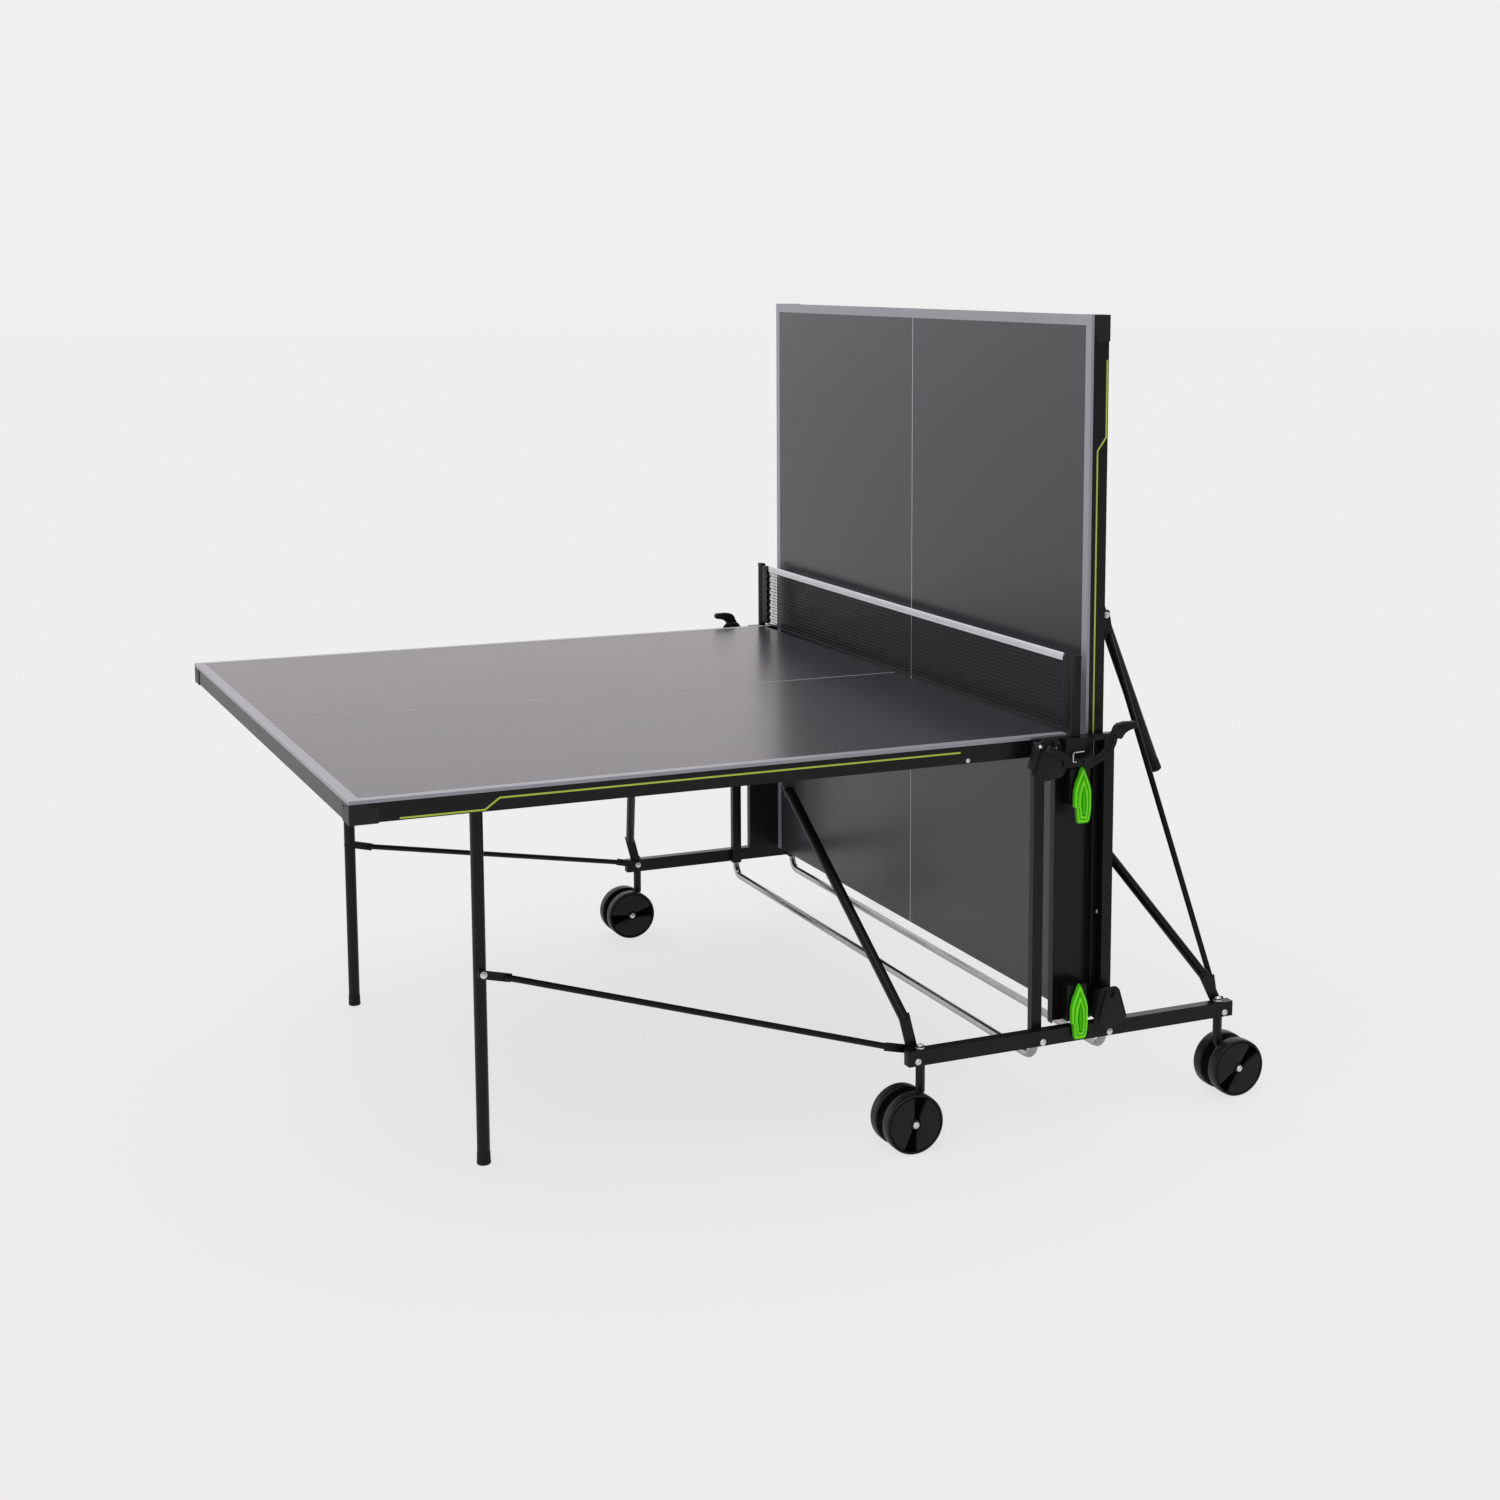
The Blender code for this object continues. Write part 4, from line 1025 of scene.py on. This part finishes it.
def net_post(side_name, side):
    name = f"{side_name}_net_post"
    low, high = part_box(name)
    bottom, top = low.z, high.z

    def fill(work):
        foot = Vector((0, 0, bottom + 0.0002))
        bar = [(NET_X + x, side * v, 0) for x, v in rectangle(POST_X, POST_V)]
        prism(work, bar, foot, Vector((0, 0, top - 0.0030)), 0.0018, 3)
        for x in (-RAIL_X, RAIL_X):
            rail = [(NET_X + x * share, side * v, 0) for share, v in RAIL]
            prism(work, rail, foot + Vector((0, 0, 0.006)), Vector((0, 0, top - 0.008)), 0.0003, 1)
        cap = [(NET_X + x, side * v, 0) for x, v in rectangle(POST_X, POST_V, -0.0006)]
        prism(work, cap, Vector((0, 0, top - 0.0048)), Vector((0, 0, top)), 0.0012, 2)
        start, end = bottom + 0.010, top - 0.004
        outline = [(CLIP_BACK, end), (CLIP_BACK, start)]
        steps = TEETH * 8
        for step in range(steps + 1):
            z = start + (end - start) * step / steps
            wave = math.cos(2 * math.pi * TEETH * step / steps)
            outline.append((NET_END + TOOTH_MIDDLE + TOOTH * wave, z))
        flat = [(0, side * v, z) for v, z in outline]
        prism(work, flat, Vector((NET_X - CLIP_X, 0, 0)), Vector((NET_X + CLIP_X, 0, 0)), 0.0006, 2)

    obj = make(f"{name}_bar", fill, plastic, "chassis", 30)
    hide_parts(name)


for side_name, side in SIDES.items():
    net_post(side_name, side)

# %% [markdown]
# ## The net
# The net is knotted cord: long cords a few millimetres apart, and upright cords that cross them. Each
# cord is a slim six-sided bar, and the upright ones lie close against the long ones. A line cord runs
# along the foot, and the white tape is folded over the top cord with its two edges sewn together.

# %% Cords
NET_FOOT = net_low.z
tape_low, tape_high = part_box("net_top_band")
CORD = 0.0007
PITCH = 0.0078
cord_rows = int(round((net_high.z - NET_FOOT) / PITCH))
cord_columns = int(round(2 * NET_END / PITCH))


def fill_net(work):
    rise = (net_high.z - NET_FOOT - 0.002) / cord_rows
    for row in range(cord_rows + 1):
        z = NET_FOOT + 0.001 + row * rise
        wire(work, [(NET_X - 0.0004, -NET_END, z), (NET_X - 0.0004, NET_END, z)], CORD)
    step = 2 * (NET_END - 0.001) / cord_columns
    for column in range(cord_columns + 1):
        y = -NET_END + 0.001 + column * step
        wire(work, [(NET_X + 0.0006, y, NET_FOOT + 0.001), (NET_X + 0.0006, y, net_high.z)], CORD)


net_mesh = make("net_cords", fill_net, cord_look, "chassis", 60)
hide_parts("net")


# %% Foot cord and tape
def fill_foot_cord(work):
    z = NET_FOOT + 0.0012
    reach = NET_END + 0.006
    wire(work, [(NET_X, -reach + 2 * reach * step / 30, z) for step in range(31)], 0.0014, 10)


foot_cord = make("net_foot_cord", fill_foot_cord, cord_look, "chassis", 60)

TAPE_HALF = 0.0015
TAPE_SAG = 0.0012
TAPE_STEPS = 60


def fill_tape(work):
    top, bottom = tape_high.z, tape_low.z
    section = [(TAPE_HALF * 0.75, bottom), (TAPE_HALF, bottom + 0.0022), (TAPE_HALF * 0.70, bottom + 0.0030),
               (TAPE_HALF * 0.95, bottom + 0.0045), (TAPE_HALF, top - 0.0022), (TAPE_HALF * 0.6, top - 0.0005),
               (0, top)]
    section += [(-x, z) for x, z in section[-2::-1]]
    rings = []
    for station in range(TAPE_STEPS + 1):
        y = -NET_END + 2 * NET_END * station / TAPE_STEPS
        sag = TAPE_SAG * (1 - (y / NET_END) ** 2)
        rings.append([(NET_X + x, y, z - sag) for x, z in section])
    skin(work, rings)


tape = make("net_tape", fill_tape, tape_look, "chassis", 50)
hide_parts("net_top_band")

# %% [markdown]
# ## Small fittings round the brackets
# Where the arms hang there is a wire spring, and two small screws hold the slides of the half that
# lies flat. They are a few millimetres each, but a mechanism without them looks like a drawing.

# %% Springs and screws
SPRING = [(-0.0280, 0.7195), (-0.0345, 0.7205), (-0.0345, 0.7350), (-0.0330, 0.7375), (-0.0295, 0.7385),
          (-0.0110, 0.7390)]
SLIDE_SCREWS = ((0.0920, 0.7500), (0.0600, 0.7460))  # u and z
for side_name, side in SIDES.items():
    reach = -side
    route = [(NET_X + reach * u, side * 0.8352, z) for u, z in SPRING]
    make(f"{side_name}_arm_spring", lambda work, route=route: wire(work, route, 0.0010, 8), zinc,
         f"{side_name}_arm", 50)
    for number, (u, z) in enumerate(SLIDE_SCREWS, 1):
        place = by_net(-1, u, side * 0.8104, z)
        bolt(f"left_{side_name}_slide_screw_{number}", place, (0, side, 0), 0.0038, 0.0048, "left_carriages")

# %% [markdown]
# ## Studio
# A plain pale floor and soft light suit a black-and-grey object. The room is bright behind the table
# and darker on the camera's side, so the flat board mirrors a bright wall while the black parts that
# face the camera stay black. The far wall is a little warm and the near side a little cool, which
# tints what each board mirrors. A soft sun from the upper left gives the surfaces a direction.

# %% Floor
floor_look = Finish("floor", Roughness=1.0, Specular_IOR_Level=0.0, Emission_Strength=1.0)
grain = floor_look.noise(3.0, 2.0)
floor_look.paint("Base Color", floor_look.mix(grain, (0.159, 0.159, 0.159), (0.161, 0.161, 0.161)))
FLOOR_GLOW, FLOOR_SEEN = (0.56, 0.56, 0.56), (0.714, 0.714, 0.714)  # what lights the table, and what is seen
seen = floor_look.node("ShaderNodeLightPath")
floor_look.paint("Emission Color", floor_look.mix(seen, FLOOR_GLOW, FLOOR_SEEN))
FLOOR_REACH, FLOOR_DROP = 60.0, 0.0006
floor_mesh = bpy.data.meshes.new("floor")
floor_area = rectangle((-FLOOR_REACH, FLOOR_REACH), (-FLOOR_REACH, FLOOR_REACH))
floor_mesh.from_pydata([(x, y, -FLOOR_DROP) for x, y in floor_area], [], [(0, 1, 2, 3)])
floor_mesh.materials.append(floor_look.material)
floor = bpy.data.objects.new("floor", floor_mesh)
bpy.context.scene.collection.objects.link(floor)

# %% Room
BACKDROP = 0.863  # what the camera sees behind the table
ROOM = {"From Min": -0.65, "From Max": 0.55, "To Min": 0.26, "To Max": 1.06}
COOL, WARM, WHITE = (0.94, 0.94, 1.0), (1.0, 0.955, 0.975), (1.0, 1.0, 1.0)
world = bpy.data.worlds.new("studio")
world.use_nodes = True
room = Graph(world.node_tree)
background = world.node_tree.nodes["Background"]
direction = room.node("ShaderNodeTexCoord", output="Generated")
depth = room.node("ShaderNodeSeparateXYZ", None, {0: direction}, output="Y")
brightness = room.node("ShaderNodeMapRange", {"interpolation_type": "SMOOTHSTEP"}, {"Value": depth, **ROOM})
seen = room.node("ShaderNodeLightPath")
warmth = room.node(
    "ShaderNodeMapRange", None, {"Value": brightness, "From Min": ROOM["To Min"], "From Max": ROOM["To Max"]}
)
room.feed(background.inputs["Strength"], room.node("ShaderNodeMix", None, {0: seen, 2: brightness, 3: BACKDROP}))
room.feed(background.inputs["Color"], room.mix(seen, room.mix(warmth, COOL, WARM), WHITE))
bpy.context.scene.world = world
bpy.context.scene.view_settings.view_transform = "Standard"

# %% Sun
SUN_RAYS = Vector((0.45, 0.35, -1.0))
sun_data = bpy.data.lights.new("sun", "SUN")
sun_data.energy = 0.9
sun_data.angle = math.radians(50)
sun = bpy.data.objects.new("sun", sun_data)
sun.rotation_euler = SUN_RAYS.to_track_quat("-Z", "Y").to_euler()
bpy.context.scene.collection.objects.link(sun)
print("floor and light set")
